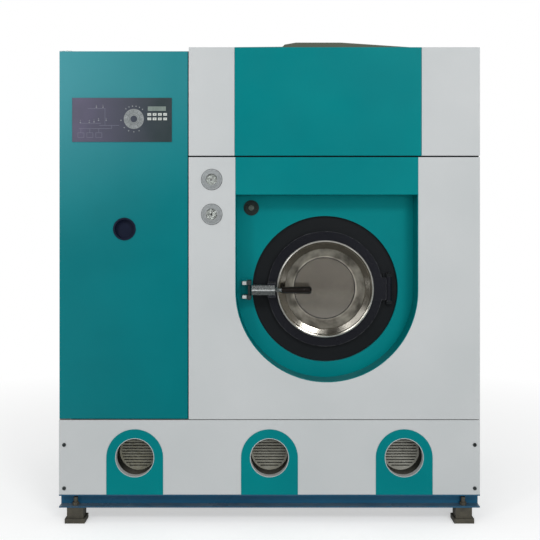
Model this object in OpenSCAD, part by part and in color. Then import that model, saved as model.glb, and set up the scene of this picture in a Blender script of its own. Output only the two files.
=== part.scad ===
// Front-loading dry cleaning machine, closed circuit, 10 kg class.
// Millimetres. +Z is up and the front faces -Y.
// The origin is on the floor under the middle of the bounding box.

/* [Cabinet] */
// Width over the side panels
body_w = 1600; // [1590:2:1640]
// Depth from the front panels to the rear panels
body_d = 1100; // [1090:5:1160]
// Height of the main roof above the floor
roof_z = 1810; // [1800:2:1830]
// Thickness of the sheet metal
sheet_t = 2; // [1.5:0.5:2.5]
// Depth of the folded edges of the fixed panels
tray_d = 40; // [36:1:44]
// Width of the inner lip of a folded edge
lip_w = 14; // [12:1:18]
// Side of the square frame tube
tube_a = 40; // [38:1:42]
// How far the longest rear connection stands out
rear_out = 60; // [50:1:70]

/* [Base] */
// Height of the levelling feet
foot_h = 60; // [56:1:64]
// Height of the base channel
channel_h = 50; // [48:1:54]
// Width of the base channel's flanges
channel_w = 44; // [42:1:50]
// Distance of each foot from the machine's middle
foot_x = 740; // [730:1:745]

/* [Front layout] */
// Top edge of the lower front panel
lower_top_z = 393; // [391:1:396]
// Bottom edge of the upper fascia
fascia_z = 1398; // [1394:1:1402]
// Left edge of the white column
column_x = -307; // [-309:1:-305]
// Left edge of the teal bay
bay_x0 = -130; // [-132:1:-128]
// Right edge of the teal bay
bay_x1 = 566; // [564:1:568]
// Lower edge of the strip above the recess
strip_z = 1252; // [1246:1:1258]
// Height of the door's middle above the floor
drum_z = 884; // [882:1:888]
// Depth of the recess round the door
recess_d = 110; // [106:1:114]

/* [Lower vents] */
// Distance between the arches
arch_pitch = 512; // [500:1:520]
// Half width of an arch
arch_r = 108; // [100:1:112]
// Height of a vent's middle above the floor
vent_z = 250; // [246:1:254]
// Radius of a vent
vent_r = 72.5; // [68:0.5:76]
// Depth of a vent's grille behind the front
grille_d = 100; // [90:1:110]
// Height pitch of the grille slats
slat_pitch = 11; // [10:0.5:12]

/* [Loading door] */
// Outer radius of the black door flange
flange_r = 225; // [223:1:227]
// Outer radius of the stainless ring
rim_r = 190; // [188:1:192]
// Radius of the hole in the recess
pan_hole_r = 285; // [284:1:287]

/* [Drum] */
// Outer radius of the drum
drum_r = 400; // [390:1:405]
// Length of the drum
drum_l = 400; // [380:1:410]
// Radius of the drum shaft
shaft_r = 40; // [35:1:42]
// Radius of the drum pulley
pulley_r = 230; // [220:1:240]
// Radius of the motor pulley
motor_pulley_r = 50; // [45:1:55]

/* [Control cabinet] */
// Width of the control window
window_w = 378; // [374:1:382]
// Height of the control window
window_h = 167; // [164:1:170]
// Pitch of the keys across
key_dx = 20; // [19:0.5:21]
// Pitch of the keys up
key_dz = 17; // [15:0.5:18]

/* [Gauges and button] */
// Radius of a gauge's flange
gauge_r = 39; // [37:0.5:40]
// How far a gauge stands out of the front
gauge_out = 14; // [12:0.5:16]
// Radius of the push-button's bezel
jog_r = 30; // [28:0.5:31]
// Travel of the push-button
jog_travel = 4; // [3:0.5:5]

/* [Fits] */
// Running clearance of pins and shafts, on the radius
run_gap = 0.05; // [0.03:0.01:0.08]
// Gap between pieces that move past each other
move_gap = 0.5; // [0.4:0.1:0.8]
// Gap between frame members that are welded in the real machine
weld_gap = 0.3; // [0.2:0.05:0.4]
// Gap between a duct's foot and the round shell that it sits on
seat_gap = 0.05; // [0.02:0.01:0.1]

/* [Hidden] */
$fn = 96;
cut = 1;
front_y = (gauge_out - body_d - rear_out) / 2;
rear_y = front_y + body_d;
side_x = body_w / 2;
base_top_z = foot_h + channel_h;
mid_z = lower_top_z;
frame_top_z = roof_z - 15;
seam = 3;
tube_wall = 3;

// posts and rails
post_front_y = front_y + tray_d;
post_rear_y = rear_y - tray_d - tube_a;
divider_x = column_x - 28;
rail_x = side_x - sheet_t - tube_a;
bay_rails = [-640, -460, 68, 368];

// base channel and feet
channel_t = 5;
cross_w = 36;
cross_x = [-640, -380, -130, 130, 380, 640];
foot_w = 62;
foot_base_w = 76;
foot_base_h = 18;
foot_y = 36;
stud_r = 8;
stud_y = 21;
stud_top = 36;
nut_r = 13;
nut_h = 11;

// lower front panel
arch_t = 1.5;
collar_t = 2.5;
arch_gap = 0.3;
screw_r = 7;
screw_h = 4;
screw_shank_r = 3;
screw_in = 20;
screw_z0 = base_top_z + 24;
screw_z1 = lower_top_z - 94;
slat_gap = 4.5;
slat_n = 5;
slat_rim = 6;
slat_end = 2;
grille_t = 4;

// recess, drum shell and door, each depth measured back from the front
door_x = (bay_x0 + bay_x1) / 2;
bay_r = (bay_x1 - bay_x0) / 2;
bay_gap = 0.5;
fascia_step = 10;
fascia_gap = 1;
fascia_x1 = bay_x1 + seam + fascia_step;
shell_d = recess_d + 15;
shell_y = front_y + shell_d;
plate_t = 8;
shell_t = 4;
shell_gap = 36;
shell_r = drum_r + shell_gap + shell_t;
drum_gap = 27;
shell_l = drum_l + 2 * (plate_t + drum_gap);
throat_r = rim_r + 5;
throat_t = 4;
throat_l = 30;
saddle_w = 60;
saddle_y = [60, 330];
saddle_half = 230;
saddle_sink = 2;
saddle_top = drum_z - sqrt(pow(shell_r, 2) - pow(saddle_half, 2)) + 2 * saddle_sink;
seal_clear = 4;

flange_t = 14;
flange_d = recess_d - 5;
flange_hole_r = rim_r - 14;
gasket_r = flange_r - 10;
gasket_w = 15;
gasket_rest = 0.3;
rim_proud = 13;
rim_t = 3;
step_r = rim_r - 34;
dish_r = rim_r - 64;
dish_d = recess_d + 40;
glass_t = 8;
glass_r = dish_r + 10;
seal_t = 3;
seal_w = 5;
seal_lip = 8;

// outline of the ring, as radius and depth behind the front: outside, bead, cone, step, seat, and back
rim_front = flange_d - rim_proud;
rim_outside = [[rim_r, flange_d], [rim_r, rim_front + 6], [rim_r - 2, rim_front + 2], [rim_r - 6, rim_front]];
rim_bead = [[rim_r - 10, rim_front + 1.5], [rim_r - 13, rim_front + 5]];
rim_step = [[step_r + 2, flange_d - 2], [step_r, flange_d + 7]];
rim_seat = [[dish_r + 1, dish_d - rim_t], [dish_r - 4, dish_d - rim_t], [dish_r - 4, dish_d]];
rim_ledge = [[dish_r + 12, dish_d], [dish_r + 12, dish_d - rim_t], [dish_r + rim_t + 1.5, dish_d - rim_t]];
rim_back = [[step_r + rim_t, flange_d + 7.6], [step_r + rim_t + 1.6, flange_d + 1]];
rim_foot = [[rim_r - 15, rim_front + 9], [rim_r - 14, flange_d]];

// door hinge
hinge_x = door_x + pan_hole_r - 35;
hinge_d = recess_d - 2;
hinge_pin_r = 6;
hinge_barrel_r = 11;
hinge_half_h = 60;
hinge_ear_h = 12;
hinge_plate_t = 5;
hinge_plate_x = [-22, 18];
hinge_pin_out = 4;
hinge_leaf_in = 20;
hinge_leaf_half = 44;

// door latch: lever on the flange, hook in front, fixed keeper at its left
latch_x = door_x - flange_r + 11;
latch_d = 40;
latch_pin_r = 6;
lever_half_h = 18.5;
lever_half_t = 12;
lever_hub_r = 15;
nose_l = 78;
nose_r = 7;
nose_rest = 30;
nose_in = 10;
nose_slim_l = 20;
nose_slim_w = 8;
bar_l = 72;
bar_half_h = 18;
bar_front = 16;
bar_back = 2;
bar_rib_r = 3;
ear_t = 8;
ear_w = 30;
ear_shift = 4;
neck_r = 6;
neck_x = 62;
grip_x0 = 43;
grip_x1 = 157;
grip_r0 = 12.5;
grip_r1 = 15;
grip_wall = 0.2;
grip_end = 6;
grip_round = 4;
keeper_pin_r = 6;
keeper_pin_x = latch_x - 82;
keeper_pin_d = latch_d + 8.5;
keeper_half_h = 32.5;
keeper_gap = 20.5;
keeper_x0 = latch_x - 108;
keeper_x1 = latch_x - 72;
keeper_front_d = 38;
keeper_base_t = 6;
keeper_edge = 4;
cheek_x0 = keeper_pin_x - 10;
cheek_x1 = keeper_pin_x + 8;
cheek_out = 4;
cheek_half_h = 36;
keeper_pin_out = 2;

// drum
drum_t = 3;
drum_mouth_r = throat_r + 10;
lifter_h = 80;
lifter_w = 110;
lifter_top = 14;
lifter_r0 = drum_r - lifter_h;
lifter_r1 = drum_r - drum_t - 3;
lifter_n = 3;
lifter_t = 3;
lifter_root = [6, 9];
hub_r = 110;
hub_l = 18;
drum_y = shell_y + plate_t + drum_gap;
bearing_y = shell_y + shell_l;
bearing_l = 200;
bearing_r = 75;
bearing_flange_r = 150;
bearing_flange_t = 16;
bearing_rib = 12;
pulley_gap = 12;
pulley_w = 56;
pulley_y = bearing_y + bearing_l + pulley_gap;
pulley_rim = 16;
pulley_web = 12;
pulley_hub = 25;
pulley_hole_n = 5;
pulley_hole_r = 42;
shaft_end = 8;
belt_w = 44;
belt_t = 7;
motor_right = 350;
motor_x = door_x + motor_right;
motor_down = 340;
motor_z = drum_z - motor_down;
motor_r = 85;
motor_l = 190;
motor_shaft_r = 19;
motor_y = pulley_y - 20;
motor_foot_w = 150;
motor_foot_up = 25;
motor_foot_in = [20, 30];
motor_plate_t = 6;
motor_plate_x = [20, 30];
motor_shaft_in = 40;
motor_bore_in = 45;
motor_fin_n = 12;
motor_fin_t = 4;
motor_fin_out = 8;
motor_fin_in = 4;
motor_fin_y = [12, 25];
motor_box_x = [25, 75];
motor_box_y = [40, 120];
motor_box_z = [-12, 20];

// gauges
gauge_x = column_x + 87.5;
gauge_z = [1175, 1307];
gauge_body_r = 30;
gauge_body_l = 32;
gauge_face_r = 22;
gauge_steps = [[gauge_r, 4], [31.5, 9], [26, gauge_out]];
dial_t = 1.2;
dial_fit = 0.1;
lens_t = 2.5;
lens_out = gauge_out - 5;
needle_out = 3.5;
needle_t = 1;
needle_l = 16.5;
needle_tail = 6;
needle_hub_r = 2.6;
needle_cap = 0.6;
needle_half = [1.4, 0.35];
spindle_r = 1.5;
spindle_in = 8;
needle_angle = [55, 40];

// push-button on the recess
jog_x = bay_x0 + 59;
jog_z = strip_z - 51;
jog_out = 8;
jog_body_r = 15;
jog_body_l = 14;
jog_bore = 12;
jog_flange_t = 3;
jog_step = 6;
jog_cap_r = 11;
jog_cap_out = 6;
jog_stop = 2;

// control cabinet door
door_gap = 4;
cab_door_x0 = -side_x + sheet_t;
cab_door_x1 = column_x - door_gap;
cab_plate_t = 4;
cab_rest = 1;
cab_door_z0 = mid_z + cab_rest + cab_plate_t + move_gap;
cab_roof_z = roof_z - 10;
cab_top_z = cab_roof_z - 5;
cab_door_z1 = cab_top_z - move_gap;
cab_door_d = 25;
cab_pivot_x = cab_door_x0 + 16;
cab_pivot_d = 14;
cab_pin_r = 5;
cab_bush_r = 9;
cab_bush_l = 24;
cab_plate_w = 44;
cab_plate_in = 10;
window_off = 5.5;
window_x = (cab_door_x0 + cab_door_x1 - window_w) / 2 - window_off;
window_down = 350;
window_z = cab_roof_z - window_down;
window_out = 3;
keys_x = window_x + 293;
keys_z = window_z + 87;
key_w = 14;
key_h = 10;
key_out = 2;
key_body = 8;
key_gap = 0.4;
key_pocket = 2;
display_x = window_x + 287;
display_z = window_z + 117.5;
display_w = 69;
display_h = 17;
display_out = 0.6;
display_gap = 0.2;
module_x = window_x + 275;
module_z = window_z + 74;
module_w = 92;
module_h = 70;
module_d = 14;
module_y = 8.5;
module_lip = 4;
dial_x = window_x + 234;
dial_z = keys_z;
dial_r = 38;
dial_hole_r = 13;
dial_plate_t = 1;
cup_x = cab_door_x1 - 240;
cup_z = 1119;
cup_r = 38;
cup_rim = 5;
cup_lip = 3;
cup_d = 22;
cup_t = 2;

// side, rear and roof
cab_side_y = 30;
side_gap = 2;
louvre_n = 8;
louvre_w = 180;
louvre_h = 8;
louvre_pitch = 28;
louvre_x = 240 - side_x;
louvre_z = 1450;
batten_in = 100;
batten_w = 10;
cover_y0 = 250;
cover_y1 = 250;
cover_t = 2;
cover_x0 = -160;
cover_x1 = 600;
cover_rise = [[0, 47], [212, 49], [222, 58], [268, 66], [450, 66], [750, 46]];

// inside
tank_gap = 14;
tank_y0 = 135;
tank_l = 500;
tank_h = 225;
tank_t = 3;
lid_r = 110;
lid_t = 12;
lid_x = 30;
still_x = 250 - side_x;
still_y = 230;
still_r = 180;
still_h = 560;
manhole_r = 90;
vapour_r = 60;
neck_h = 80;
condenser_r = 95;
condenser_h = 300;
vessel_t = 4;
vessel_foot = 10;
vessel_foot_t = 20;
vessel_seat = 5;
still_flange = 14;
still_flange_t = 18;
filter_y = -170;
filter_r = 115;
filter_h = 520;
coupling_h = 30;
pump_x = -20;
pump_y = 300;
pump_r = 85;
pump_l = 190;
pump_z = base_top_z + 110;
pump_w = 70;
pump_plate_t = 12;
pump_plate_l = 210;
pump_plate_in = 10;
pump_motor_r = 62;
pump_motor_x = [60, 280];
pump_foot_x = [[10, 50], [90, 240]];
pump_foot_half = [30, 45];
pump_foot_down = [60, 40];
pipe_up_x = 35;
elbow = 4;

// mounting plate. Its rows share the height by their gaps, and each row fills the width as far as gear_x1.
// Each line: x of the first piece, width, pitch, depth, z and height, from the plate's corner
plate_d = 180;
plate_x0 = 20 - side_x;
plate_x1 = divider_x + 25;
plate_w = plate_x1 - plate_x0;
plate_up = 467;
plate_z0 = mid_z + plate_up;
plate_z1 = frame_top_z - 55;
gear_x0 = 40;
gear_x1 = plate_w - 30;
row_h = [160, 40, 80, 90, 90];
row_gap = [60, 60, 80, 100, 70, 50];
row_spread = (plate_z1 - plate_z0 - total(row_h, 5)) / total(row_gap, 6);
row_z = [for (k = [0:4]) total(row_h, k) + row_spread * total(row_gap, k + 1)];
gear = [
  [gear_x0, 180, plate_w, 120, row_z[3] - 10, row_z[4] - row_z[3] + 110],
  [250, 26, 30, 75, row_z[4], row_h[4]],
  [250, 42, 48, 85, row_z[3], row_h[3]],
  [gear_x0, 48, 58, 70, row_z[2], row_h[2]],
  [gear_x0, gear_x1 - gear_x0, plate_w, 45, row_z[1], row_h[1]],
  [gear_x0, 140, plate_w, 95, row_z[0], row_h[0]],
  [210, 9, 11, 45, row_z[0] + 80, 50]
];

// air duct and fan
duct_t = 3;
duct_x0 = door_x - 238;
duct_w = 580;
duct_x1 = duct_x0 + duct_w;
duct_y0 = -260;
duct_y1 = 330;
duct_h = 260;
duct_down = 110;
duct_z1 = roof_z - duct_down;
duct_z0 = duct_z1 - duct_h;
bracket_x = [40, 60];
bracket_z = 40;
bracket_w = 20;
fin_in = 60;
fin_n = 12;
fin_x = 200;
fin_pitch = 20;
fin_t = 3;
riser_w = 300;
riser_l = 160;
riser_in = 4;
fan_x = duct_x0 - 130;
fan_z = roof_z - 250;
fan_y = -140;
fan_w = 120;
fan_r = 118;
fan_wheel_r = 95;
fan_shaft_r = 9;
fan_motor_r = 60;
fan_motor_l = 150;
fan_t = 3;
fan_neck_half = 60;
fan_bore = 40;
fan_shaft_in = 35;
drop_w = 110;
drop_x = fan_x - 50;
drop_z = 120;
blade_n = 12;
blade_in = 22;
blade_half = 11;
blade_t = 4;
blade_lean = 30;
wheel_gap = 12;
wheel_t = 4;
wheel_rim = 28;
wheel_hub_r = 20;
wheel_hub_l = 20;
pipe_r = 16;
pipe_x = -270;
pipe_z = mid_z + 77;

// rear connections
conn_edge = [100, 180, 260, 370];
conn_x = [for (d = conn_edge) d - side_x];
conn_z = 300;
conn_body_r = 18;
conn_in = 25;
conn_flange_r = 28;
conn_flange_t = 6;
water_bore_r = 10.5;
air_bore_r = 6.6;
cable_bore_r = 13;
conn_bore_r = [water_bore_r, water_bore_r, air_bore_r, cable_bore_r];
conn_out = 34;
exhaust_x = duct_x0 + 290;
exhaust_z = roof_z - 240;
exhaust_r = 50;
exhaust_t = 2.5;
exhaust_flange_r = 68;
exhaust_flange_t = 3;

// Cylinder that runs from y0 to y1.
module cyl_y(x, z, y0, y1, r) {
  translate([x, y1, z]) rotate([90, 0, 0]) cylinder(r = r, h = y1 - y0);
}

// Cylinder that runs up from z0 to z1.
module cyl_z(x, y, z0, z1, r) {
  translate([x, y, z0]) cylinder(r = r, h = z1 - z0);
}

// Sum of the first n values of a list.
function total(v, n) = n == 0 ? 0 : v[n - 1] + total(v, n - 1);

// Box from one corner to the other.
module block(a, b) {
  translate(a) cube(b - a);
}

// Hollow square tube as a box with a square hole along its length.
module tube(a, b, along) {
  hole = [for (i = [0:2]) i == along ? cut : -tube_wall];
  difference() {
    block(a, b);
    block(a - hole, b + hole);
  }
}

// Folded tray with its face towards -Y: four edges folded back, each with an inner lip.
module tray(x0, x1, z0, z1) {
  t = sheet_t;
  difference() {
    block([x0, front_y, z0], [x1, front_y + tray_d, z1]);
    block([x0 + t, front_y + t, z0 + t], [x1 - t, front_y + tray_d - t, z1 - t]);
    block([x0 + lip_w, front_y + t, z0 + lip_w], [x1 - lip_w, front_y + tray_d + cut, z1 - lip_w]);
  }
}

// The same tray facing the rear.
module rear_tray(x0, x1, z0, z1) {
  translate([0, front_y + rear_y, 0]) mirror([0, 1, 0]) tray(x0, x1, z0, z1);
}

// Outline of the teal bay: straight sides down to the door's middle, then half a circle.
module bay_shape(r, top) {
  translate([door_x - r, drum_z]) square([2 * r, top - drum_z]);
  intersection() {
    translate([door_x, drum_z]) circle(r);
    translate([door_x - r - cut, drum_z - r - cut]) square([2 * (r + cut), r + cut]);
  }
}

// Bay outline extruded between two depths behind the front.
module bay_solid(r, top, d0, d1) {
  translate([0, front_y + d1, 0]) rotate([90, 0, 0]) linear_extrude(d1 - d0) bay_shape(r, top);
}

module base_frame() color("#1e4f74") {
  w = channel_w;
  t = channel_t;
  for (s = [0, 1]) translate([0, s * (front_y + rear_y), 0]) mirror([0, s, 0]) difference() {
    block([-side_x, front_y, foot_h], [side_x, front_y + w, base_top_z]);
    block([-side_x - cut, front_y - cut, foot_h + t], [side_x + cut, front_y + w - t, base_top_z - t]);
    for (k = [-1, 1]) cyl_z(k * foot_x, front_y + stud_y, foot_h - cut, foot_h + t + cut, stud_r);
  }
  y0 = front_y + w + weld_gap;
  y1 = rear_y - w - weld_gap;
  for (x = cross_x) tube([x - cross_w / 2, y0, foot_h], [x + cross_w / 2, y1, base_top_z], 1);
  for (k = [-1, 1]) mirror([k > 0 ? 0 : 1, 0, 0]) difference() {
    block([side_x - w, y0, foot_h], [side_x, y1, base_top_z]);
    block([side_x - w + t, y0 - cut, foot_h + t], [side_x + cut, y1 + cut, base_top_z - t]);
  }
}

module levelling_feet() color("#46453c") {
  for (k = [-1, 1]) for (s = [0, 1]) translate([0, s * (front_y + rear_y), 0]) mirror([0, s, 0]) {
    x = k * foot_x;
    y = front_y + foot_y;
    a = foot_base_w / 2;
    b = foot_w / 2;
    block([x - a, y - a, 0], [x + a, y + a, foot_base_h]);
    block([x - b, y - b, foot_base_h - cut], [x + b, y + b, foot_h]);
    cyl_z(x, front_y + stud_y, foot_h - cut, foot_h + stud_top, stud_r);
    translate([x, front_y + stud_y, foot_h + channel_t]) cylinder(r = nut_r, h = nut_h, $fn = 6);
  }
}

module frame_tubes() color("#3c4448") {
  a = tube_a;
  g = weld_gap;
  xs = [-side_x + sheet_t, divider_x, rail_x];
  ys = [post_front_y, post_rear_y];
  for (x = xs) for (y = ys) tube([x, y, base_top_z], [x + a, y + a, frame_top_z], 2);
  for (z = [mid_z - a, frame_top_z - a]) {
    for (y = ys) for (i = [0, 1]) tube([xs[i] + a + g, y, z], [xs[i + 1] - g, y + a, z + a], 0);
    for (x = xs) tube([x, ys[0] + a + g, z], [x + a, ys[1] - g, z + a], 1);
  }
  for (x = bay_rails) tube([x - a / 2, ys[0] + a + g, mid_z - a], [x + a / 2, ys[1] - g, mid_z], 1);
}

module lower_front_panel() color("#c4c6c8") difference() {
  hole_r = vent_r + collar_t + arch_gap;
  tray(-side_x, side_x, base_top_z, lower_top_z);
  for (i = [-1:1]) cyl_y(i * arch_pitch, vent_z, front_y - cut, front_y + tray_d + cut, hole_r);
  for (k = [-1, 1]) for (z = [screw_z0, screw_z1])
    cyl_y(k * (side_x - screw_in), z, front_y - cut, front_y + sheet_t + cut, screw_shank_r + arch_gap);
}

module vent_arches() color("#087a7a") for (i = [-1:1]) difference() {
  translate([i * arch_pitch, front_y, 0]) rotate([90, 0, 0]) linear_extrude(arch_t) {
    translate([-arch_r, base_top_z]) square([2 * arch_r, vent_z - base_top_z]);
    intersection() {
      translate([0, vent_z]) circle(arch_r);
      translate([-arch_r - cut, vent_z]) square([2 * (arch_r + cut), arch_r + cut]);
    }
  }
  cyl_y(i * arch_pitch, vent_z, front_y - arch_t - cut, front_y + cut, vent_r);
}

module vent_collars() color("#3a3f3d") for (i = [-1:1]) difference() {
  cyl_y(i * arch_pitch, vent_z, front_y, front_y + grille_d, vent_r + collar_t);
  cyl_y(i * arch_pitch, vent_z, front_y - cut, front_y + grille_d + cut, vent_r);
}

module vent_grilles() color("#5f6054") for (i = [-1:1]) difference() {
  cyl_y(i * arch_pitch, vent_z, front_y + grille_d, front_y + grille_d + grille_t, vent_r + collar_t);
  for (k = [-slat_n:slat_n]) {
    w = sqrt(pow(vent_r - slat_rim, 2) - pow(k * slat_pitch, 2)) - slat_end;
    translate([i * arch_pitch - w, front_y + grille_d - cut, vent_z + k * slat_pitch - slat_gap / 2])
      cube([2 * w, grille_t + 2 * cut, slat_gap]);
  }
}

module lower_panel_screws() color("#9a9c9c") for (k = [-1, 1]) for (z = [screw_z0, screw_z1]) {
  x = k * (side_x - screw_in);
  difference() {
    cyl_y(x, z, front_y - screw_h, front_y, screw_r);
    translate([x, front_y - screw_h / 2, z]) rotate([90, 0, 0])
      cylinder(r = screw_shank_r, h = screw_h, $fn = 6);
  }
  cyl_y(x, z, front_y - cut, front_y + tray_d, screw_shank_r);
}

module main_front_panel() color("#c4c6c8") difference() {
  tray(column_x, side_x, lower_top_z + seam, fascia_z - 2 * seam);
  bay_solid(bay_r, fascia_z, -cut, tray_d + cut);
  for (z = gauge_z) cyl_y(gauge_x, z, front_y - cut, front_y + sheet_t + cut, gauge_body_r + arch_gap);
}

module recess_pan() color("#087a7a") {
  r = bay_r - bay_gap;
  top = fascia_z - 2 * seam;
  t = sheet_t;
  lip = r - lip_w;
  face_y = front_y + recess_d;
  back_y = face_y + t + cut;
  difference() {
    bay_solid(r, top, 0, recess_d + t);
    bay_solid(r - t, strip_z - t, -cut, recess_d);
    block([door_x - r + t, front_y + t, strip_z], [door_x + r - t, front_y + tray_d, top - t]);
    block([door_x - lip, front_y + t, strip_z], [door_x + lip, back_y, top - lip_w]);
    block([door_x - r - cut, front_y + tray_d, strip_z], [door_x + r + cut, back_y, top + cut]);
    cyl_y(door_x, drum_z, face_y - cut, back_y, pan_hole_r);
    cyl_y(jog_x, jog_z, face_y - cut, back_y, jog_body_r + arch_gap);
  }
  difference() {
    cyl_y(door_x, drum_z, face_y, shell_y, pan_hole_r + t);
    cyl_y(door_x, drum_z, face_y - cut, shell_y + cut, pan_hole_r);
  }
}

module fascia_sides() color("#c4c6c8") {
  tray(column_x, bay_x0 - seam, fascia_z, roof_z);
  tray(fascia_x1, side_x, fascia_z, roof_z);
}

module fascia_centre() color("#087a7a")
  tray(bay_x0 - seam + fascia_gap, fascia_x1 - fascia_gap, fascia_z, roof_z);

module side_panels() color("#c4c6c8") {
  t = sheet_t;
  y1 = rear_y - tray_d - side_gap;
  y0 = front_y + tray_d + side_gap;
  for (x = [-side_x, side_x - t]) block([x, y0, base_top_z], [x + t, y1, lower_top_z]);
  block([-side_x, front_y + cab_side_y, lower_top_z + seam], [-side_x + t, y1, cab_roof_z - t]);
  block([side_x - t, y0, lower_top_z + seam], [side_x, y1, roof_z]);
}

module rear_panels() color("#c4c6c8") difference() {
  union() {
    rear_tray(-side_x, side_x, base_top_z, lower_top_z);
    rear_tray(-side_x, column_x - seam, lower_top_z + seam, cab_roof_z - sheet_t);
    rear_tray(column_x, side_x, lower_top_z + seam, roof_z);
  }
  for (i = [0:3]) cyl_y(conn_x[i], conn_z, rear_y - tray_d, rear_y + cut, conn_body_r + arch_gap);
  cyl_y(exhaust_x, exhaust_z, rear_y - tray_d, rear_y + cut, exhaust_r);
  for (k = [0:louvre_n - 1])
    block([louvre_x - louvre_w / 2, rear_y - sheet_t - cut, louvre_z + k * louvre_pitch],
      [louvre_x + louvre_w / 2, rear_y + cut, louvre_z + k * louvre_pitch + louvre_h]);
}

module roof_panels() color("#b9bfbb") {
  t = sheet_t;
  y0 = front_y + tray_d + side_gap;
  y1 = rear_y - tray_d - side_gap;
  difference() {
    block([column_x, y0, frame_top_z], [side_x - t, y1, roof_z]);
    block([column_x + t, y0 + t, frame_top_z - cut], [side_x - 2 * t, y1 - t, roof_z - t]);
  }
  block([-side_x, front_y + cab_side_y, cab_roof_z - t], [column_x - seam, y1, cab_roof_z]);
  for (y = [post_front_y, post_rear_y] + [batten_w, batten_w])
    block([batten_in - side_x, y, frame_top_z], [column_x - batten_in, y + batten_w, cab_roof_z - t]);
}

// Low sheet cover over the air duct, with the sloped outline that shows above the fascia.
module cover_outline(t, foot) {
  last = cover_rise[len(cover_rise) - 1][0];
  top = [for (p = cover_rise) [cover_x0 + min(max(p[0], t), last - t), p[1] - t]];
  polygon(concat([[cover_x0 + t, foot]], top, [[cover_x1 - t, foot]]));
}

module duct_cover() color("#b2b4a8") {
  t = cover_t;
  y0 = front_y + cover_y0;
  y1 = rear_y - cover_y1;
  translate([0, y1, roof_z]) rotate([90, 0, 0]) difference() {
    linear_extrude(y1 - y0) cover_outline(0, 0);
    translate([0, 0, t]) linear_extrude(y1 - y0 - 2 * t) cover_outline(t, -cut);
  }
}

module cabinet_hinges() color("#8f9496") {
  y = front_y + cab_pivot_d;
  x1 = cab_door_x0 + cab_plate_w;
  top_z = cab_top_z + cab_plate_t - cab_rest;
  block([cab_door_x0, y - cab_plate_in, cab_top_z], [x1, post_front_y + tube_a, top_z]);
  cyl_z(cab_pivot_x, y, cab_door_z1 - cab_bush_l, cab_top_z + cut, cab_pin_r);
  block([cab_door_x0, y - cab_plate_in, mid_z + cab_rest],
    [x1, post_front_y, mid_z + cab_rest + cab_plate_t]);
  cyl_z(cab_pivot_x, y, mid_z + cab_rest + cut, cab_door_z0 + cab_bush_l, cab_pin_r);
}

module control_door() color("#087a7a") {
  t = sheet_t;
  x0 = cab_door_x0;
  x1 = cab_door_x1;
  y = front_y + cab_pivot_d;
  difference() {
    union() {
      difference() {
        block([x0, front_y, cab_door_z0], [x1, front_y + cab_door_d, cab_door_z1]);
        block([x0 + t, front_y + t, cab_door_z0 + t], [x1 - t, front_y + cab_door_d + cut, cab_door_z1 - t]);
      }
      cyl_z(cab_pivot_x, y, cab_door_z0 + cut, cab_door_z0 + cab_bush_l, cab_bush_r);
      cyl_z(cab_pivot_x, y, cab_door_z1 - cab_bush_l, cab_door_z1 - cut, cab_bush_r);
    }
    cyl_z(cab_pivot_x, y, cab_door_z0 - cut, cab_door_z0 + cab_bush_l + cut, cab_pin_r + run_gap);
    cyl_z(cab_pivot_x, y, cab_door_z1 - cab_bush_l - cut, cab_door_z1 + cut, cab_pin_r + run_gap);
    cyl_y(cup_x, cup_z, front_y - cut, front_y + t + cut, cup_r);
    block([module_x + module_lip, front_y - cut, module_z + module_lip],
      [module_x + module_w - module_lip, front_y + t + cut, module_z + module_h - module_lip]);
  }
}

module control_door_cup() color("#221f2e") difference() {
  union() {
    cyl_y(cup_x, cup_z, front_y - cup_lip, front_y, cup_r + cup_rim);
    cyl_y(cup_x, cup_z, front_y - cut, front_y + cup_d, cup_r);
  }
  cyl_y(cup_x, cup_z, front_y - cup_lip - cut, front_y + cup_d - cup_t, cup_r - cup_t);
}

// Column and row of a key, from its number.
function key_pos(i) = [keys_x + (i % 4) * key_dx, keys_z + (i < 4 ? 1 : 0) * key_dz];

module key_box(i, y0, y1, extra) {
  p = key_pos(i);
  a = key_w / 2 + extra;
  b = key_h / 2 + extra;
  block([p[0] - a, y0, p[1] - b], [p[0] + a, y1, p[1] + b]);
}

module control_window() color("#3f474b") difference() {
  block([window_x, front_y - window_out, window_z], [window_x + window_w, front_y, window_z + window_h]);
  for (i = [0:7]) key_box(i, front_y - window_out - cut, front_y + cut, key_gap);
  block([display_x, front_y - window_out - cut, display_z],
    [display_x + display_w, front_y + cut, display_z + display_h]);
}

module panel_display() color("#7f8c86") {
  difference() {
    block([module_x, front_y + sheet_t, module_z],
      [module_x + module_w, front_y + module_y + module_d, module_z + module_h]);
    for (i = [0:7]) key_box(i, front_y, front_y + module_y + key_pocket, key_gap);
  }
  g = display_gap;
  block([display_x + g, front_y - window_out - display_out, display_z + g],
    [display_x + display_w - g, front_y + sheet_t + cut, display_z + display_h - g]);
}

module panel_dial() color("#b8bcbc") difference() {
  cyl_y(dial_x, dial_z, front_y - window_out - dial_plate_t, front_y - window_out, dial_r);
  cyl_y(dial_x, dial_z, front_y - window_out - dial_plate_t - cut, front_y - window_out + cut, dial_hole_r);
}

module key(i) color("#c8cdc9") {
  p = key_pos(i);
  key_box(i, front_y - window_out - key_out, front_y + key_body, 0);
}

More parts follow.
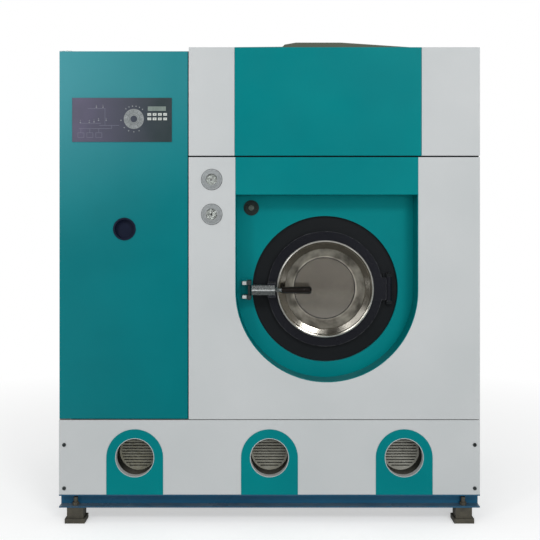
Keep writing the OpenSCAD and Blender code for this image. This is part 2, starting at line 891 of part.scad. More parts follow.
module drum_shell() color("#2a2d30") {
  y1 = shell_y + shell_l;
  difference() {
    cyl_y(door_x, drum_z, shell_y, y1, shell_r);
    cyl_y(door_x, drum_z, shell_y + plate_t, y1 - plate_t, shell_r - shell_t);
    cyl_y(door_x, drum_z, shell_y - cut, shell_y + plate_t + cut, throat_r);
    cyl_y(door_x, drum_z, y1 - plate_t - cut, y1 + cut, shaft_r + seal_clear);
    translate([door_x - riser_w / 2 + riser_in, duct_y0 + riser_in, drum_z + shell_r / 2])
      cube([riser_w - 2 * riser_in, riser_l - 2 * riser_in, shell_r]);
  }
  difference() {
    cyl_y(door_x, drum_z, shell_y + plate_t - cut, shell_y + throat_l, throat_r + throat_t);
    cyl_y(door_x, drum_z, shell_y, shell_y + throat_l + cut, throat_r);
  }
  for (y = saddle_y) difference() {
    block([door_x - saddle_half, shell_y + y, mid_z],
      [door_x + saddle_half, shell_y + y + saddle_w, saddle_top]);
    cyl_y(door_x, drum_z, shell_y, y1, shell_r - saddle_sink);
  }
}

// Half section widths of a lifter: narrow at its top, wide at the drum's wall.
module lifter_section(r0, half0, r1, half1) {
  polygon([[r1, -half1], [r0, -half0], [r0, half0], [r1, half1]]);
}

module drum() color("#9a9890") {
  y1 = drum_y + drum_l;
  difference() {
    cyl_y(door_x, drum_z, drum_y, y1, drum_r);
    cyl_y(door_x, drum_z, drum_y + drum_t, y1 - drum_t, drum_r - drum_t);
    cyl_y(door_x, drum_z, drum_y - cut, drum_y + drum_t + cut, drum_mouth_r);
  }
  for (k = [0:lifter_n - 1]) translate([door_x, 0, drum_z]) rotate([0, 90 + k * 360 / lifter_n, 0]) {
    translate([0, y1 - cut, 0]) rotate([90, 0, 0]) linear_extrude(drum_l - 2 * cut) difference() {
      lifter_section(lifter_r0, lifter_top, lifter_r1, lifter_w / 2);
      lifter_section(lifter_r0 + lifter_t, lifter_top - lifter_t,
        lifter_r1 - lifter_root[0], lifter_w / 2 - lifter_root[1]);
    }
  }
  cyl_y(door_x, drum_z, y1 - cut, y1 + hub_l, hub_r);
  cyl_y(door_x, drum_z, y1, pulley_y + pulley_w + shaft_end, shaft_r);
}

module bearing_housing() color("#4a4e50") difference() {
  union() {
    cyl_y(door_x, drum_z, bearing_y, bearing_y + bearing_flange_t, bearing_flange_r);
    cyl_y(door_x, drum_z, bearing_y, bearing_y + bearing_l, bearing_r);
    for (k = [0:3]) translate([door_x, 0, drum_z]) rotate([0, 45 + k * 90, 0])
      block([bearing_r - bearing_rib, bearing_y, -bearing_rib / 2],
        [bearing_flange_r - bearing_rib, bearing_y + bearing_l / 2, bearing_rib / 2]);
  }
  cyl_y(door_x, drum_z, bearing_y - cut, bearing_y + bearing_l + cut, shaft_r + run_gap);
}

module drum_pulley() color("#5a5f62") difference() {
  cyl_y(door_x, drum_z, pulley_y, pulley_y + pulley_w, pulley_r);
  for (s = [0, 1]) {
    y0 = s ? pulley_y + (pulley_w + pulley_web) / 2 : pulley_y - cut;
    y1 = s ? pulley_y + pulley_w + cut : pulley_y + (pulley_w - pulley_web) / 2;
    difference() {
      cyl_y(door_x, drum_z, y0, y1, pulley_r - pulley_rim);
      cyl_y(door_x, drum_z, y0 - cut, y1 + cut, shaft_r + pulley_hub);
    }
  }
  for (k = [0:pulley_hole_n - 1]) translate([door_x, 0, drum_z]) rotate([0, k * 360 / pulley_hole_n, 0])
    cyl_y((shaft_r + pulley_r) / 2, 0, pulley_y, pulley_y + pulley_w, pulley_hole_r);
  cyl_y(door_x, drum_z, pulley_y - cut, pulley_y + pulley_w + cut, shaft_r);
}

module motor_pulley() color("#5a5f62") {
  cyl_y(motor_x, motor_z, pulley_y, pulley_y + pulley_w, motor_pulley_r);
  cyl_y(motor_x, motor_z, motor_y - motor_shaft_in, pulley_y + cut, motor_shaft_r);
}

module drive_motor() color("#3f5660") {
  y0 = motor_y - motor_l;
  top_z = mid_z + motor_plate_t;
  box_z = motor_z + motor_r;
  difference() {
    union() {
      cyl_y(motor_x, motor_z, y0, motor_y, motor_r);
      for (k = [0:motor_fin_n - 1]) translate([motor_x, 0, motor_z]) rotate([0, k * 360 / motor_fin_n, 0])
        block([motor_r - motor_fin_in, y0 + motor_fin_y[0], -motor_fin_t / 2],
          [motor_r + motor_fin_out, motor_y - motor_fin_y[1], motor_fin_t / 2]);
      block([motor_x - motor_foot_w / 2, y0 + motor_foot_in[0], top_z],
        [motor_x + motor_foot_w / 2, motor_y - motor_foot_in[1], motor_z - motor_r + motor_foot_up]);
      block([motor_x + motor_box_x[0], y0 + motor_box_y[0], box_z + motor_box_z[0]],
        [motor_x + motor_box_x[1], y0 + motor_box_y[1], box_z + motor_box_z[1]]);
    }
    cyl_y(motor_x, motor_z, motor_y - motor_bore_in, motor_y + cut, motor_shaft_r + run_gap);
  }
  block([bay_rails[3] - motor_plate_x[0], y0, mid_z], [rail_x + motor_plate_x[1], motor_y, top_z]);
}

// Belt as the space between two wrapped outlines.
module belt_outline(extra) hull() {
  translate([door_x, drum_z]) circle(pulley_r + extra);
  translate([motor_x, motor_z]) circle(motor_pulley_r + extra);
}

module drive_belt() color("#26282a")
  translate([0, pulley_y + (pulley_w + belt_w) / 2, 0]) rotate([90, 0, 0]) linear_extrude(belt_w)
    difference() {
      belt_outline(move_gap + belt_t);
      belt_outline(move_gap);
    }

module door_flange() color("#1f2226") {
  y0 = front_y + flange_d;
  barrel_half = hinge_half_h - hinge_ear_h - move_gap;
  ear_z = lever_half_h + move_gap;
  difference() {
    union() {
      cyl_y(door_x, drum_z, y0, y0 + flange_t, flange_r);
      block([door_x + flange_r - hinge_leaf_in, y0, drum_z - hinge_leaf_half],
        [hinge_x, y0 + flange_t, drum_z + hinge_leaf_half]);
      cyl_z(hinge_x, front_y + hinge_d, drum_z - barrel_half, drum_z + barrel_half, hinge_barrel_r);
    }
    cyl_y(door_x, drum_z, y0 - cut, y0 + flange_t + cut, flange_hole_r);
    cyl_z(hinge_x, front_y + hinge_d, drum_z - hinge_half_h, drum_z + hinge_half_h, hinge_pin_r + run_gap);
  }
  for (s = [-1, 1]) {
    z = drum_z + s * (ear_z + ear_t / 2);
    block([latch_x - ear_w / 2 + ear_shift, front_y + latch_d - lever_half_t, z - ear_t / 2],
      [latch_x + ear_w / 2 + ear_shift, y0 + cut, z + ear_t / 2]);
  }
  cyl_z(latch_x, front_y + latch_d, drum_z - ear_z - ear_t, drum_z + ear_z + ear_t, latch_pin_r);
}

// Polished dished ring: bead, first band, step, second band, seat for the glass.
module door_rim() color("#d8d8d0")
  translate([door_x, front_y, drum_z]) rotate([-90, 0, 0]) rotate_extrude()
    polygon(concat(rim_outside, rim_bead, rim_step, rim_seat, rim_ledge, rim_back, rim_foot));

module door_glass() color([0.7, 0.78, 0.78, 0.35])
  cyl_y(door_x, drum_z, front_y + dish_d, front_y + dish_d + glass_t, glass_r);

module door_seals() color("#202224") {
  back_y = front_y + dish_d + glass_t + seal_t;
  difference() {
    cyl_y(door_x, drum_z, front_y + flange_d + flange_t, shell_y - gasket_rest, gasket_r);
    cyl_y(door_x, drum_z, front_y + flange_d, shell_y + cut, gasket_r - gasket_w);
  }
  difference() {
    cyl_y(door_x, drum_z, front_y + dish_d, back_y, glass_r + seal_w);
    cyl_y(door_x, drum_z, front_y + dish_d - cut, front_y + dish_d + glass_t, glass_r);
    cyl_y(door_x, drum_z, front_y + dish_d - cut, back_y + cut, glass_r - seal_lip);
  }
}

module door_hinge_bracket() color("#1f2226") {
  r = hinge_barrel_r;
  y = front_y + hinge_d;
  pin_half = hinge_half_h + hinge_pin_out;
  block([hinge_x + hinge_plate_x[0], shell_y - hinge_plate_t, drum_z - hinge_half_h],
    [hinge_x + hinge_plate_x[1], shell_y, drum_z + hinge_half_h]);
  for (z = [drum_z - hinge_half_h, drum_z + hinge_half_h - hinge_ear_h])
    block([hinge_x - r, y - r, z], [hinge_x + r, shell_y - cut, z + hinge_ear_h]);
  cyl_z(hinge_x, y, drum_z - pin_half, drum_z + pin_half, hinge_pin_r);
}

// A straight bar with a rib shows in front. Behind it the hook points left and leans in by nose_rest degrees.
module latch_lever() color("#c9cbc8") translate([latch_x, front_y + latch_d, drum_z]) difference() {
  union() {
    translate([0, 0, -lever_half_h]) cylinder(r = lever_hub_r, h = 2 * lever_half_h);
    rotate([0, 0, 180 - nose_rest]) block([0, -nose_in, -lever_half_h], [nose_l, nose_in, lever_half_h]);
    rotate([0, 0, 180 - nose_rest]) translate([nose_l, 0, -lever_half_h])
      cylinder(r = nose_r, h = 2 * lever_half_h);
    block([0, -lever_half_t, -lever_half_h], [lever_hub_r + 2, lever_half_t, lever_half_h]);
    block([-bar_l, -bar_front, -bar_half_h], [lever_hub_r + 2, -bar_back, bar_half_h]);
    translate([-bar_l, -bar_front, 0]) rotate([0, 90, 0])
      cylinder(r = bar_rib_r, h = bar_l + lever_hub_r + 2);
    translate([lever_hub_r, 0, 0]) rotate([0, 90, 0]) cylinder(r = neck_r, h = neck_x - lever_hub_r);
  }
  translate([0, 0, -lever_half_h - cut]) cylinder(r = latch_pin_r + run_gap, h = 2 * (lever_half_h + cut));
  rotate([0, 0, 180 - nose_rest]) for (s = [-1, 1]) {
    y = s * (nose_r + nose_slim_w / 2);
    block([nose_l - nose_slim_l, y - nose_slim_w / 2, -lever_half_h - cut],
      [nose_l + nose_r, y + nose_slim_w / 2, lever_half_h + cut]);
  }
}

module latch_grip() color("#2a2320") translate([latch_x, front_y + latch_d, drum_z]) difference() {
  union() {
    translate([grip_x0, 0, 0]) rotate([0, 90, 0])
      cylinder(r1 = grip_r0, r2 = grip_r1, h = grip_x1 - grip_x0 - grip_end);
    translate([grip_x1 - grip_end, 0, 0]) rotate([0, 90, 0])
      cylinder(r1 = grip_r1, r2 = grip_r1 - grip_round, h = grip_end);
  }
  rotate([0, 90, 0]) cylinder(r = neck_r + grip_wall, h = neck_x + grip_wall);
}

module latch_keeper() color("#b9bbb8") {
  y0 = front_y + keeper_front_d;
  y1 = front_y + recess_d;
  base_half = cheek_half_h + keeper_edge;
  pin_half = cheek_half_h + keeper_pin_out;
  block([keeper_x0 - keeper_edge, y1 - keeper_base_t, drum_z - base_half],
    [keeper_x1, y1, drum_z + base_half]);
  for (s = [0, 1]) translate([0, 0, drum_z]) mirror([0, 0, s]) {
    block([keeper_x0, y0, keeper_gap], [cheek_x1 - cut, y1 - cut, keeper_half_h]);
    block([cheek_x0, y0 - cheek_out, keeper_gap], [cheek_x1, y1 - cut, cheek_half_h]);
  }
  cyl_z(keeper_pin_x, front_y + keeper_pin_d, drum_z - pin_half, drum_z + pin_half, keeper_pin_r);
}

module gauge_cases() color("#b4b6b4") for (z = gauge_z) difference() {
  union() {
    cyl_y(gauge_x, z, front_y - cut, front_y + gauge_body_l, gauge_body_r);
    for (s = gauge_steps) cyl_y(gauge_x, z, front_y - s[1], front_y, s[0]);
  }
  cyl_y(gauge_x, z, front_y - gauge_out - cut, front_y, gauge_face_r);
  cyl_y(gauge_x, z, front_y - cut, front_y + spindle_in + cut, spindle_r + run_gap);
}

module gauge_dials() color("#e6e6e0") for (z = gauge_z) difference() {
  cyl_y(gauge_x, z, front_y - dial_t, front_y, gauge_face_r - dial_fit);
  cyl_y(gauge_x, z, front_y - dial_t - cut, front_y + cut, needle_hub_r);
}

module gauge_lenses() color([0.8, 0.85, 0.85, 0.3]) for (z = gauge_z)
  cyl_y(gauge_x, z, front_y - lens_out - lens_t, front_y - lens_out, gauge_face_r - dial_fit);

module needle(i) color("#1c1c1c") translate([gauge_x, front_y - needle_out, gauge_z[i]]) {
  a = needle_half[0];
  b = needle_half[1];
  rotate([90, 0, 0]) cylinder(r = needle_hub_r, h = needle_t + needle_cap);
  rotate([-90, 0, 0]) cylinder(r = spindle_r, h = needle_out + spindle_in);
  rotate([0, -needle_angle[i], 0]) rotate([90, 0, 0]) linear_extrude(needle_t)
    polygon([[-needle_tail, -a], [-needle_tail, a], [needle_l, b], [needle_l, -b]]);
}

module jog_bezel() color("#14201f") difference() {
  y = front_y + recess_d;
  union() {
    cyl_y(jog_x, jog_z, y - jog_flange_t, y, jog_r);
    cyl_y(jog_x, jog_z, y - jog_out, y, jog_r - jog_step);
    cyl_y(jog_x, jog_z, y - cut, y + jog_body_l, jog_body_r);
  }
  cyl_y(jog_x, jog_z, y - jog_out - cut, y + jog_bore, jog_cap_r + run_gap);
}

module jog_button() color("#8b958f") {
  y = front_y + recess_d;
  cyl_y(jog_x, jog_z, y - jog_out - jog_cap_out, y + jog_bore - jog_travel - jog_stop, jog_cap_r);
}

module solvent_tanks() color("#8d9193") {
  w = (body_w - 2 * (channel_w + tank_gap) - 2 * tank_gap) / 3;
  for (i = [-1:1]) {
    x = i * (w + tank_gap);
    low = [x - w / 2, front_y + tank_y0, base_top_z];
    high = low + [w, tank_l, tank_h];
    wall = [tank_t, tank_t, tank_t];
    difference() {
      block(low, high);
      block(low + wall, high - wall);
    }
    cyl_z(x + lid_x, low[1] + tank_l / 2, high[2] - cut, high[2] + lid_t, lid_r);
  }
}

// Still with its manhole and, on top, its vapour neck and condenser. Hollow, as welded from sheet.
module still() color("#a3a5a3") {
  z = mid_z;
  top = z + still_h;
  neck_z = top + neck_h;
  difference() {
    union() {
      cyl_z(still_x, still_y, z, z + vessel_foot_t, still_r + vessel_foot);
      cyl_z(still_x, still_y, z + vessel_foot_t - vessel_seat, top, still_r);
      cyl_z(still_x, still_y, top - cut, top + still_flange_t, still_r + still_flange);
      cyl_y(still_x, z + still_h / 2, still_y - still_r - still_flange_t, still_y, manhole_r);
      cyl_z(still_x, still_y, top, neck_z + vessel_seat, vapour_r);
      cyl_z(still_x, still_y, neck_z, neck_z + condenser_h, condenser_r);
    }
    cyl_z(still_x, still_y, z + vessel_foot_t, top, still_r - vessel_t);
    cyl_z(still_x, still_y, top - cut, neck_z + vessel_t, vapour_r - vessel_t);
    cyl_z(still_x, still_y, neck_z + vessel_t, neck_z + condenser_h - vessel_t, condenser_r - vessel_t);
  }
}

// Filter, pump and the pipe between them and the tank.
module solvent_circuit() color("#7d8688") {
  z = mid_z;
  foot_z = base_top_z + pump_plate_t;
  up_x = pump_x + pipe_up_x;
  difference() {
    union() {
      cyl_z(still_x, filter_y, z, z + vessel_foot_t, filter_r + vessel_foot);
      cyl_z(still_x, filter_y, z + vessel_foot_t - vessel_seat, z + filter_h, filter_r);
      cyl_z(still_x, filter_y, z + filter_h - cut, z + filter_h + coupling_h, filter_r + still_flange);
    }
    cyl_z(still_x, filter_y, z + vessel_foot_t, z + filter_h, filter_r - vessel_t);
  }
  block([pump_x - pump_r, pump_y - pump_l / 2, base_top_z],
    [pump_x + pump_r + pump_plate_l, pump_y + pump_l / 2 - pump_plate_in, foot_z]);
  translate([pump_x, pump_y, pump_z]) rotate([0, 90, 0]) cylinder(r = pump_r, h = pump_w);
  translate([pump_x + pump_motor_x[0], pump_y, pump_z]) rotate([0, 90, 0])
    cylinder(r = pump_motor_r, h = pump_motor_x[1] - pump_motor_x[0]);
  for (i = [0, 1])
    block([pump_x + pump_foot_x[i][0], pump_y - pump_foot_half[i], foot_z - cut],
      [pump_x + pump_foot_x[i][1], pump_y + pump_foot_half[i], pump_z - pump_foot_down[i]]);
  cyl_z(up_x, pump_y, pump_z + pump_r - vessel_seat, pipe_z, pipe_r);
  translate([up_x, pump_y, pipe_z]) rotate([0, -90, 0]) cylinder(r = pipe_r, h = up_x - pipe_x);
  translate([pipe_x, pump_y, pipe_z]) rotate([90, 0, 0]) cylinder(r = pipe_r, h = pump_y - filter_y);
  translate([pipe_x, filter_y, pipe_z]) rotate([0, -90, 0]) cylinder(r = pipe_r, h = pipe_x - still_x);
  for (corner = [[up_x, pump_y], [pipe_x, pump_y], [pipe_x, filter_y]])
    translate([corner[0], corner[1], pipe_z]) sphere(r = pipe_r + elbow);
}

module air_duct() color("#aeb2b0") {
  t = duct_t;
  wall = [t, t, t];
  low = [duct_x0, duct_y0, duct_z0];
  high = [duct_x1, duct_y1, duct_z1];
  riser_x0 = door_x - riser_w / 2;
  riser_y1 = duct_y0 + riser_l;
  z = duct_z0 + bracket_z;
  difference() {
    union() {
      block(low, high);
      block([riser_x0, duct_y0, drum_z], [riser_x0 + riser_w, riser_y1, duct_z0 + cut]);
    }
    cyl_y(door_x, drum_z, shell_y - cut, shell_y + shell_l + cut, shell_r + seat_gap);
    block(low + wall, high - wall);
    block([riser_x0 + t, duct_y0 + t, drum_z], [riser_x0 + riser_w - t, riser_y1 - t, duct_z0 + t + cut]);
  }
  for (k = [0:fin_n - 1]) translate([duct_x0 + fin_x + k * fin_pitch, 0, 0])
    block([0, duct_y0 + fin_in, duct_z0 + cut], [fin_t, duct_y1 - fin_in, duct_z1 - cut]);
  for (x = [duct_x0 + bracket_x[0], duct_x1 - bracket_x[1]])
    block([x, duct_y1 - cut, z], [x + bracket_w, post_rear_y, z + bracket_w]);
}

module fan_housing() color("#8f9496") {
  t = fan_t;
  y1 = fan_y + fan_w;
  neck = fan_neck_half;
  difference() {
    union() {
      cyl_y(fan_x, fan_z, fan_y, y1, fan_r);
      block([drop_x, fan_y, drum_z + drop_z], [drop_x + drop_w, y1, fan_z]);
      block([fan_x, fan_y, fan_z - neck], [duct_x0, y1, fan_z + neck]);
    }
    cyl_y(fan_x, fan_z, fan_y + t, y1 - t, fan_r - t);
    block([drop_x + t, fan_y + t, drum_z], [drop_x + drop_w - t, y1 - t, fan_z]);
    block([fan_x, fan_y + t, fan_z - neck + t], [duct_x0 + cut, y1 - t, fan_z + neck - t]);
    cyl_y(fan_x, fan_z, y1 - t - cut, y1 + cut, fan_shaft_r + run_gap);
    cyl_y(door_x, drum_z, shell_y - cut, y1 + cut, shell_r + seat_gap);
  }
  difference() {
    cyl_y(fan_x, fan_z, y1 - cut, y1 + fan_motor_l, fan_motor_r);
    cyl_y(fan_x, fan_z, y1 - t - cut, y1 + fan_bore, fan_shaft_r + run_gap);
  }
}

module fan_wheel() color("#b9bcbb") {
  y0 = fan_y + wheel_gap;
  y1 = fan_y + fan_w - wheel_gap;
  cyl_y(fan_x, fan_z, y1 - wheel_t, y1, fan_wheel_r);
  difference() {
    cyl_y(fan_x, fan_z, y0, y0 + wheel_t, fan_wheel_r);
    cyl_y(fan_x, fan_z, y0 - cut, y0 + wheel_t + cut, fan_wheel_r - wheel_rim);
  }
  for (k = [0:blade_n - 1]) translate([fan_x, 0, fan_z]) rotate([0, k * 360 / blade_n, 0])
    translate([fan_wheel_r - blade_in, 0, 0]) rotate([0, blade_lean, 0])
      block([-blade_t / 2, y0 + cut, -blade_half], [blade_t / 2, y1 - cut, blade_half]);
  cyl_y(fan_x, fan_z, y1 - wheel_hub_l, y1 + cut, wheel_hub_r);
  cyl_y(fan_x, fan_z, y1, fan_y + fan_w + fan_shaft_in, fan_shaft_r);
}

module electrical_plate() color("#c9ccca") {
  y1 = front_y + plate_d;
  y0 = post_front_y + tube_a;
  t = sheet_t;
  block([plate_x0, y1 - t, plate_z0], [plate_x1, y1, plate_z1]);
  for (x = [plate_x0, plate_x1 - t]) block([x, y0, plate_z0], [x + t, y1, plate_z1]);
  for (g = gear) for (k = [0:floor((gear_x1 - g[0] - g[1]) / g[2])]) {
    x = plate_x0 + g[0] + k * g[2];
    z = plate_z0 + g[4];
    block([x, y1 - g[3], z], [x + g[1], y1 - cut, z + g[5]]);
  }
}

module service_connections() color("#b59a5a") {
  for (i = [0:3]) difference() {
    union() {
      cyl_y(conn_x[i], conn_z, rear_y - sheet_t - conn_in, rear_y + conn_out, conn_body_r);
      cyl_y(conn_x[i], conn_z, rear_y, rear_y + conn_flange_t, conn_flange_r);
    }
    cyl_y(conn_x[i], conn_z, rear_y - sheet_t - conn_in - cut, rear_y + conn_out + cut, conn_bore_r[i]);
  }
  difference() {
    union() {
      cyl_y(exhaust_x, exhaust_z, rear_y - sheet_t, rear_y + rear_out, exhaust_r);
      cyl_y(exhaust_x, exhaust_z, rear_y, rear_y + exhaust_flange_t, exhaust_flange_r);
    }
    cyl_y(exhaust_x, exhaust_z, rear_y - sheet_t - cut, rear_y + rear_out + cut, exhaust_r - exhaust_t);
  }
}

base_frame();
levelling_feet();
frame_tubes();
lower_front_panel();
vent_arches();
vent_collars();
vent_grilles();
lower_panel_screws();
main_front_panel();
recess_pan();
fascia_sides();
fascia_centre();
side_panels();
rear_panels();
roof_panels();
duct_cover();
cabinet_hinges();
drum_shell();
bearing_housing();
door_hinge_bracket();
latch_keeper();
gauge_cases();
gauge_dials();
gauge_lenses();
jog_bezel();
drive_motor();
drive_belt();
solvent_tanks();
still();
solvent_circuit();
air_duct();
fan_housing();
electrical_plate();
service_connections();
control_door();
control_door_cup();
control_window();
panel_display();
panel_dial();
key(0);  // key_1
key(1);  // key_2
key(2);  // key_3
key(3);  // key_4
key(4);  // key_5
key(5);  // key_6
key(6);  // key_7
key(7);  // key_8
door_flange();
door_rim();
door_glass();
door_seals();
latch_lever();
latch_grip();
drum();
drum_pulley();
motor_pulley();
fan_wheel();
needle(0);  // needle_1
needle(1);  // needle_2
jog_button();
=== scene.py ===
import bmesh
import bpy
import math
from mathutils import Matrix, Vector


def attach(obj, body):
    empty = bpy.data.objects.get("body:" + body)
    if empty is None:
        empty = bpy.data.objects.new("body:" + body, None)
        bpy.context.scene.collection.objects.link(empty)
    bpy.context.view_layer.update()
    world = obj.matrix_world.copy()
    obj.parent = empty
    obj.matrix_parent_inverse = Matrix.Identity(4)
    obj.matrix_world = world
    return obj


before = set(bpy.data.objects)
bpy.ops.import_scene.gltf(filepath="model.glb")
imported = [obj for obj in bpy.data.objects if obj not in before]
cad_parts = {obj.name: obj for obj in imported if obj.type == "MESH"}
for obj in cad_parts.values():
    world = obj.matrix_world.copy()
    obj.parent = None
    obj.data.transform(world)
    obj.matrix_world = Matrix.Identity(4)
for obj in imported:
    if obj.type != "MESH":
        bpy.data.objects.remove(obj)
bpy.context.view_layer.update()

# ---------------------------------------------------------------- base frame
# Welded ring of hot rolled channel, open side out, under the whole machine.
# Brushed with blue enamel over mill scale, chipped along its flanges, dusty on top.


def linear(code):
    """An sRGB hex colour as the linear one that shaders take."""
    parts = [int(code[i:i + 2], 16) / 255 for i in (1, 3, 5)]
    return [c / 12.92 if c <= 0.04045 else ((c + 0.055) / 1.055) ** 2.4 for c in parts] + [1.0]


def add(tree, kind, inputs, **settings):
    """One node with its settings, and a hex colour, a value or a link for each input that is given.

    Inputs go by name, or by number where a node has several of one name."""
    node = tree.nodes.new("ShaderNode" + kind)
    for name, value in settings.items():
        setattr(node, name, value)
    for name, value in inputs.items():
        if isinstance(value, bpy.types.NodeSocket):
            tree.links.new(value, node.inputs[name])
        else:
            node.inputs[name].default_value = linear(value) if isinstance(value, str) else value
    return node


def begin(name, sockets):
    """A new material, its tree, its shader, and the place on the piece in metres."""
    material = bpy.data.materials.new(name)
    material.use_nodes = True
    tree = material.node_tree
    tree.nodes.clear()
    shader = add(tree, "BsdfPrincipled", sockets)
    add(tree, "OutputMaterial", {"Surface": shader.outputs[0]})
    return material, tree, shader, add(tree, "TexCoord", {}).outputs["Object"]


def drift(tree, place, size_mm, low, high, detail=3.0):
    """Slow change over a surface: patches of that size, as values between low and high."""
    noise = add(tree, "TexNoise", {"Vector": place, "Scale": 1000 / size_mm, "Detail": detail})
    return add(tree, "MapRange", {0: noise.outputs[0], 1: 0.32, 2: 0.68, 3: low, 4: high}).outputs[0]


def patches(tree, place, size_mm, colour, other, most=1.0, detail=3.0):
    """A colour, as a hex code or a socket, that turns into another in patches of that size."""
    amount = drift(tree, place, size_mm, 0.0, most, detail)
    return add(tree, "Mix", {0: amount, 6: colour, 7: other}, data_type="RGBA").outputs[2]


def surface(tree, shader, colour, height, depth_mm, rough=None):
    """Gives a shader its colour, a relief of that depth and, where it varies, its roughness."""
    tree.links.new(colour, shader.inputs["Base Color"])
    bump = add(tree, "Bump", {"Height": height, "Distance": depth_mm / 1000})
    tree.links.new(bump.outputs[0], shader.inputs["Normal"])
    if rough:
        tree.links.new(rough, shader.inputs["Roughness"])


def painted(name, colour, faded, dust, rough, peel_mm, chips=0.0, bare="#7d7c76", shine=0.22):
    """Paint on sheet or section: slow fading, orange peel, dust on what faces up, chipped edges."""
    material, tree, shader, place = begin(name, {"Specular IOR Level": shine})
    base = patches(tree, place, 420, colour, faded)
    # fine speckle, 2 mm in the real coat, drawn at 6 mm so that it shows
    base = patches(tree, place, 6, base, faded, 0.12)
    normal = add(tree, "NewGeometry", {}).outputs["Normal"]
    up = add(tree, "SeparateXYZ", {0: normal}).outputs[2]
    level = add(tree, "MapRange", {0: up, 1: 0.55, 2: 0.98}).outputs[0]
    uneven = drift(tree, place, 90, 0.3 * dust, dust)
    lies = add(tree, "Math", {0: level, 1: uneven}, operation="MULTIPLY").outputs[0]
    base = add(tree, "Mix", {0: lies, 6: base, 7: "#b3ada0"}, data_type="RGBA").outputs[2]
    if chips:
        soft = add(tree, "Bevel", {"Radius": 0.003}, samples=4).outputs[0]
        bend = add(tree, "VectorMath", {0: soft, 1: normal}, operation="DOT_PRODUCT").outputs["Value"]
        edge = add(tree, "MapRange", {0: bend, 1: 0.985, 2: 0.9}).outputs[0]
        knocked = drift(tree, place, 14, 0.0, chips)
        chip = add(tree, "Math", {0: edge, 1: knocked}, operation="MULTIPLY").outputs[0]
        base = add(tree, "Mix", {0: chip, 6: base, 7: bare}, data_type="RGBA").outputs[2]
    wiped = drift(tree, place, 150, rough - 0.05, rough + 0.07)
    dull = add(tree, "Math", {0: wiped, 1: lies}, operation="MAXIMUM").outputs[0]
    surface(tree, shader, base, drift(tree, place, peel_mm, 0.0, 1.0, 1.0), 0.012, dull)
    return material


# Glossy enamel, thick and uneven, so that its shine breaks up.
blue_enamel = painted("blue_enamel_on_channel", "#1c4a68", "#245a78", 0.25, 0.30, 9, 0.9, "#5b5048", 0.15)


def finish(material, *names):
    """Gives a material to CAD nodes."""
    for name in names:
        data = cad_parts[name].data
        data.materials.clear()
        data.materials.append(material)


finish(blue_enamel, "base_frame")

# ---------------------------------------------------------- levelling feet
# Cast blocks on studs through the channel's lower flange, each with a nut.
# Left as cast: a rough dark skin that floor dirt has settled in.
material, tree, shader, place = begin("cast_iron_foot", {"Metallic": 0.0, "Roughness": 0.82})
# sand grains of 0.5 mm, drawn at 2.5 mm so that the skin shows
sand_skin = drift(tree, place, 2.5, 0.0, 1.0, 5.0)
dirty = patches(tree, place, 35, "#3f3d36", "#5a564a")
surface(tree, shader, patches(tree, place, 2.5, dirty, "#2c2a26", 0.5, 5.0), sand_skin, 0.25)
finish(material, "levelling_feet")


def fold(width_mm, *names):
    """Rounds the edges of pieces, so that they catch the light as a bend or a cast corner does."""
    for name in names:
        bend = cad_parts[name].modifiers.new("folded_edge", "BEVEL")
        bend.width = width_mm / 1000
        bend.segments = 2
        bend.limit_method = "ANGLE"
        bend.angle_limit = math.radians(50)
        bend.use_clamp_overlap = True


fold(1.5, "levelling_feet")

# --------------------------------------------------------------- tube frame
# Square tube posts and rails, cut and welded, dipped in flat grey primer that dust clings
# to. It is seen only behind the open control door and between the slats of the vents.
primer = painted("grey_primer_on_tube", "#4a5054", "#565b5d", 0.6, 0.58, 4)
finish(primer, "frame_tubes")

# -------------------------------------------------------- lower front panel
# Folded steel sheet, powder coated white, screwed to the frame at its corners.
# The coat is semi-gloss with a soft orange peel that smears reflections.
white_coat = painted("white_powder_coat", "#c2c5c6", "#bbbfc0", 0.25, 0.34, 2.8)
finish(white_coat, "lower_front_panel")
fold(0.9, "lower_front_panel")

# ------------------------------------------------------------- vent arches
# Teal plates with arched tops, laser cut and bonded flat on the panel round the vents.
# They have the pan's powder coat: a deep colour with a semi-gloss face.
teal_coat = painted("teal_powder_coat", "#007f82", "#00767b", 0.12, 0.33, 2.8, shine=0.08)
finish(teal_coat, "vent_arches")
fold(0.4, "vent_arches")

# ------------------------------------------------- vent collars and grilles
# Short spun tubes behind the arches, black inside, and a slatted plate at the
# end of each. The slats are galvanised and hold olive-grey lint and dust.
# the collars are coloured near-black as painted shade: the shadow deep inside each tube
finish(painted("black_collar_painted_shade", "#1b1d1c", "#222420", 0.25, 0.62, 3, shine=0.1), "vent_collars")

material, tree, shader, place = begin("galvanised_slats_with_lint", {"Roughness": 0.62, "Metallic": 0.15})
spangle = add(tree, "TexVoronoi", {"Vector": place, "Scale": 1000 / 7}).outputs["Distance"]
slats = add(tree, "Mix", {0: spangle, 6: "#97988e", 7: "#a9aaa0"}, data_type="RGBA").outputs[2]
lint = drift(tree, place, 16, 0.35, 1.0, 6.0)
slats = add(tree, "Mix", {0: lint, 6: slats, 7: "#868472"}, data_type="RGBA").outputs[2]
# painted light: the slats turn lighter towards the right vent, where more light falls
across = add(tree, "SeparateXYZ", {0: place}).outputs[0]
lit_side_blend = add(tree, "MapRange", {0: across, 1: -0.5, 2: 0.5, 3: 0.0, 4: 0.6}).outputs[0]
slats = add(tree, "Mix", {0: lit_side_blend, 6: slats, 7: "#b9b9b1"}, data_type="RGBA").outputs[2]
surface(tree, shader, slats, lint, 0.2)
finish(material, "vent_grilles")

# Pale edge trim of each vent: a thin sleeve pushed in over the cut edges of the sheets.
front_y = -573
arch_pitch, vent_z, vent_r = 512, 250, 72.5


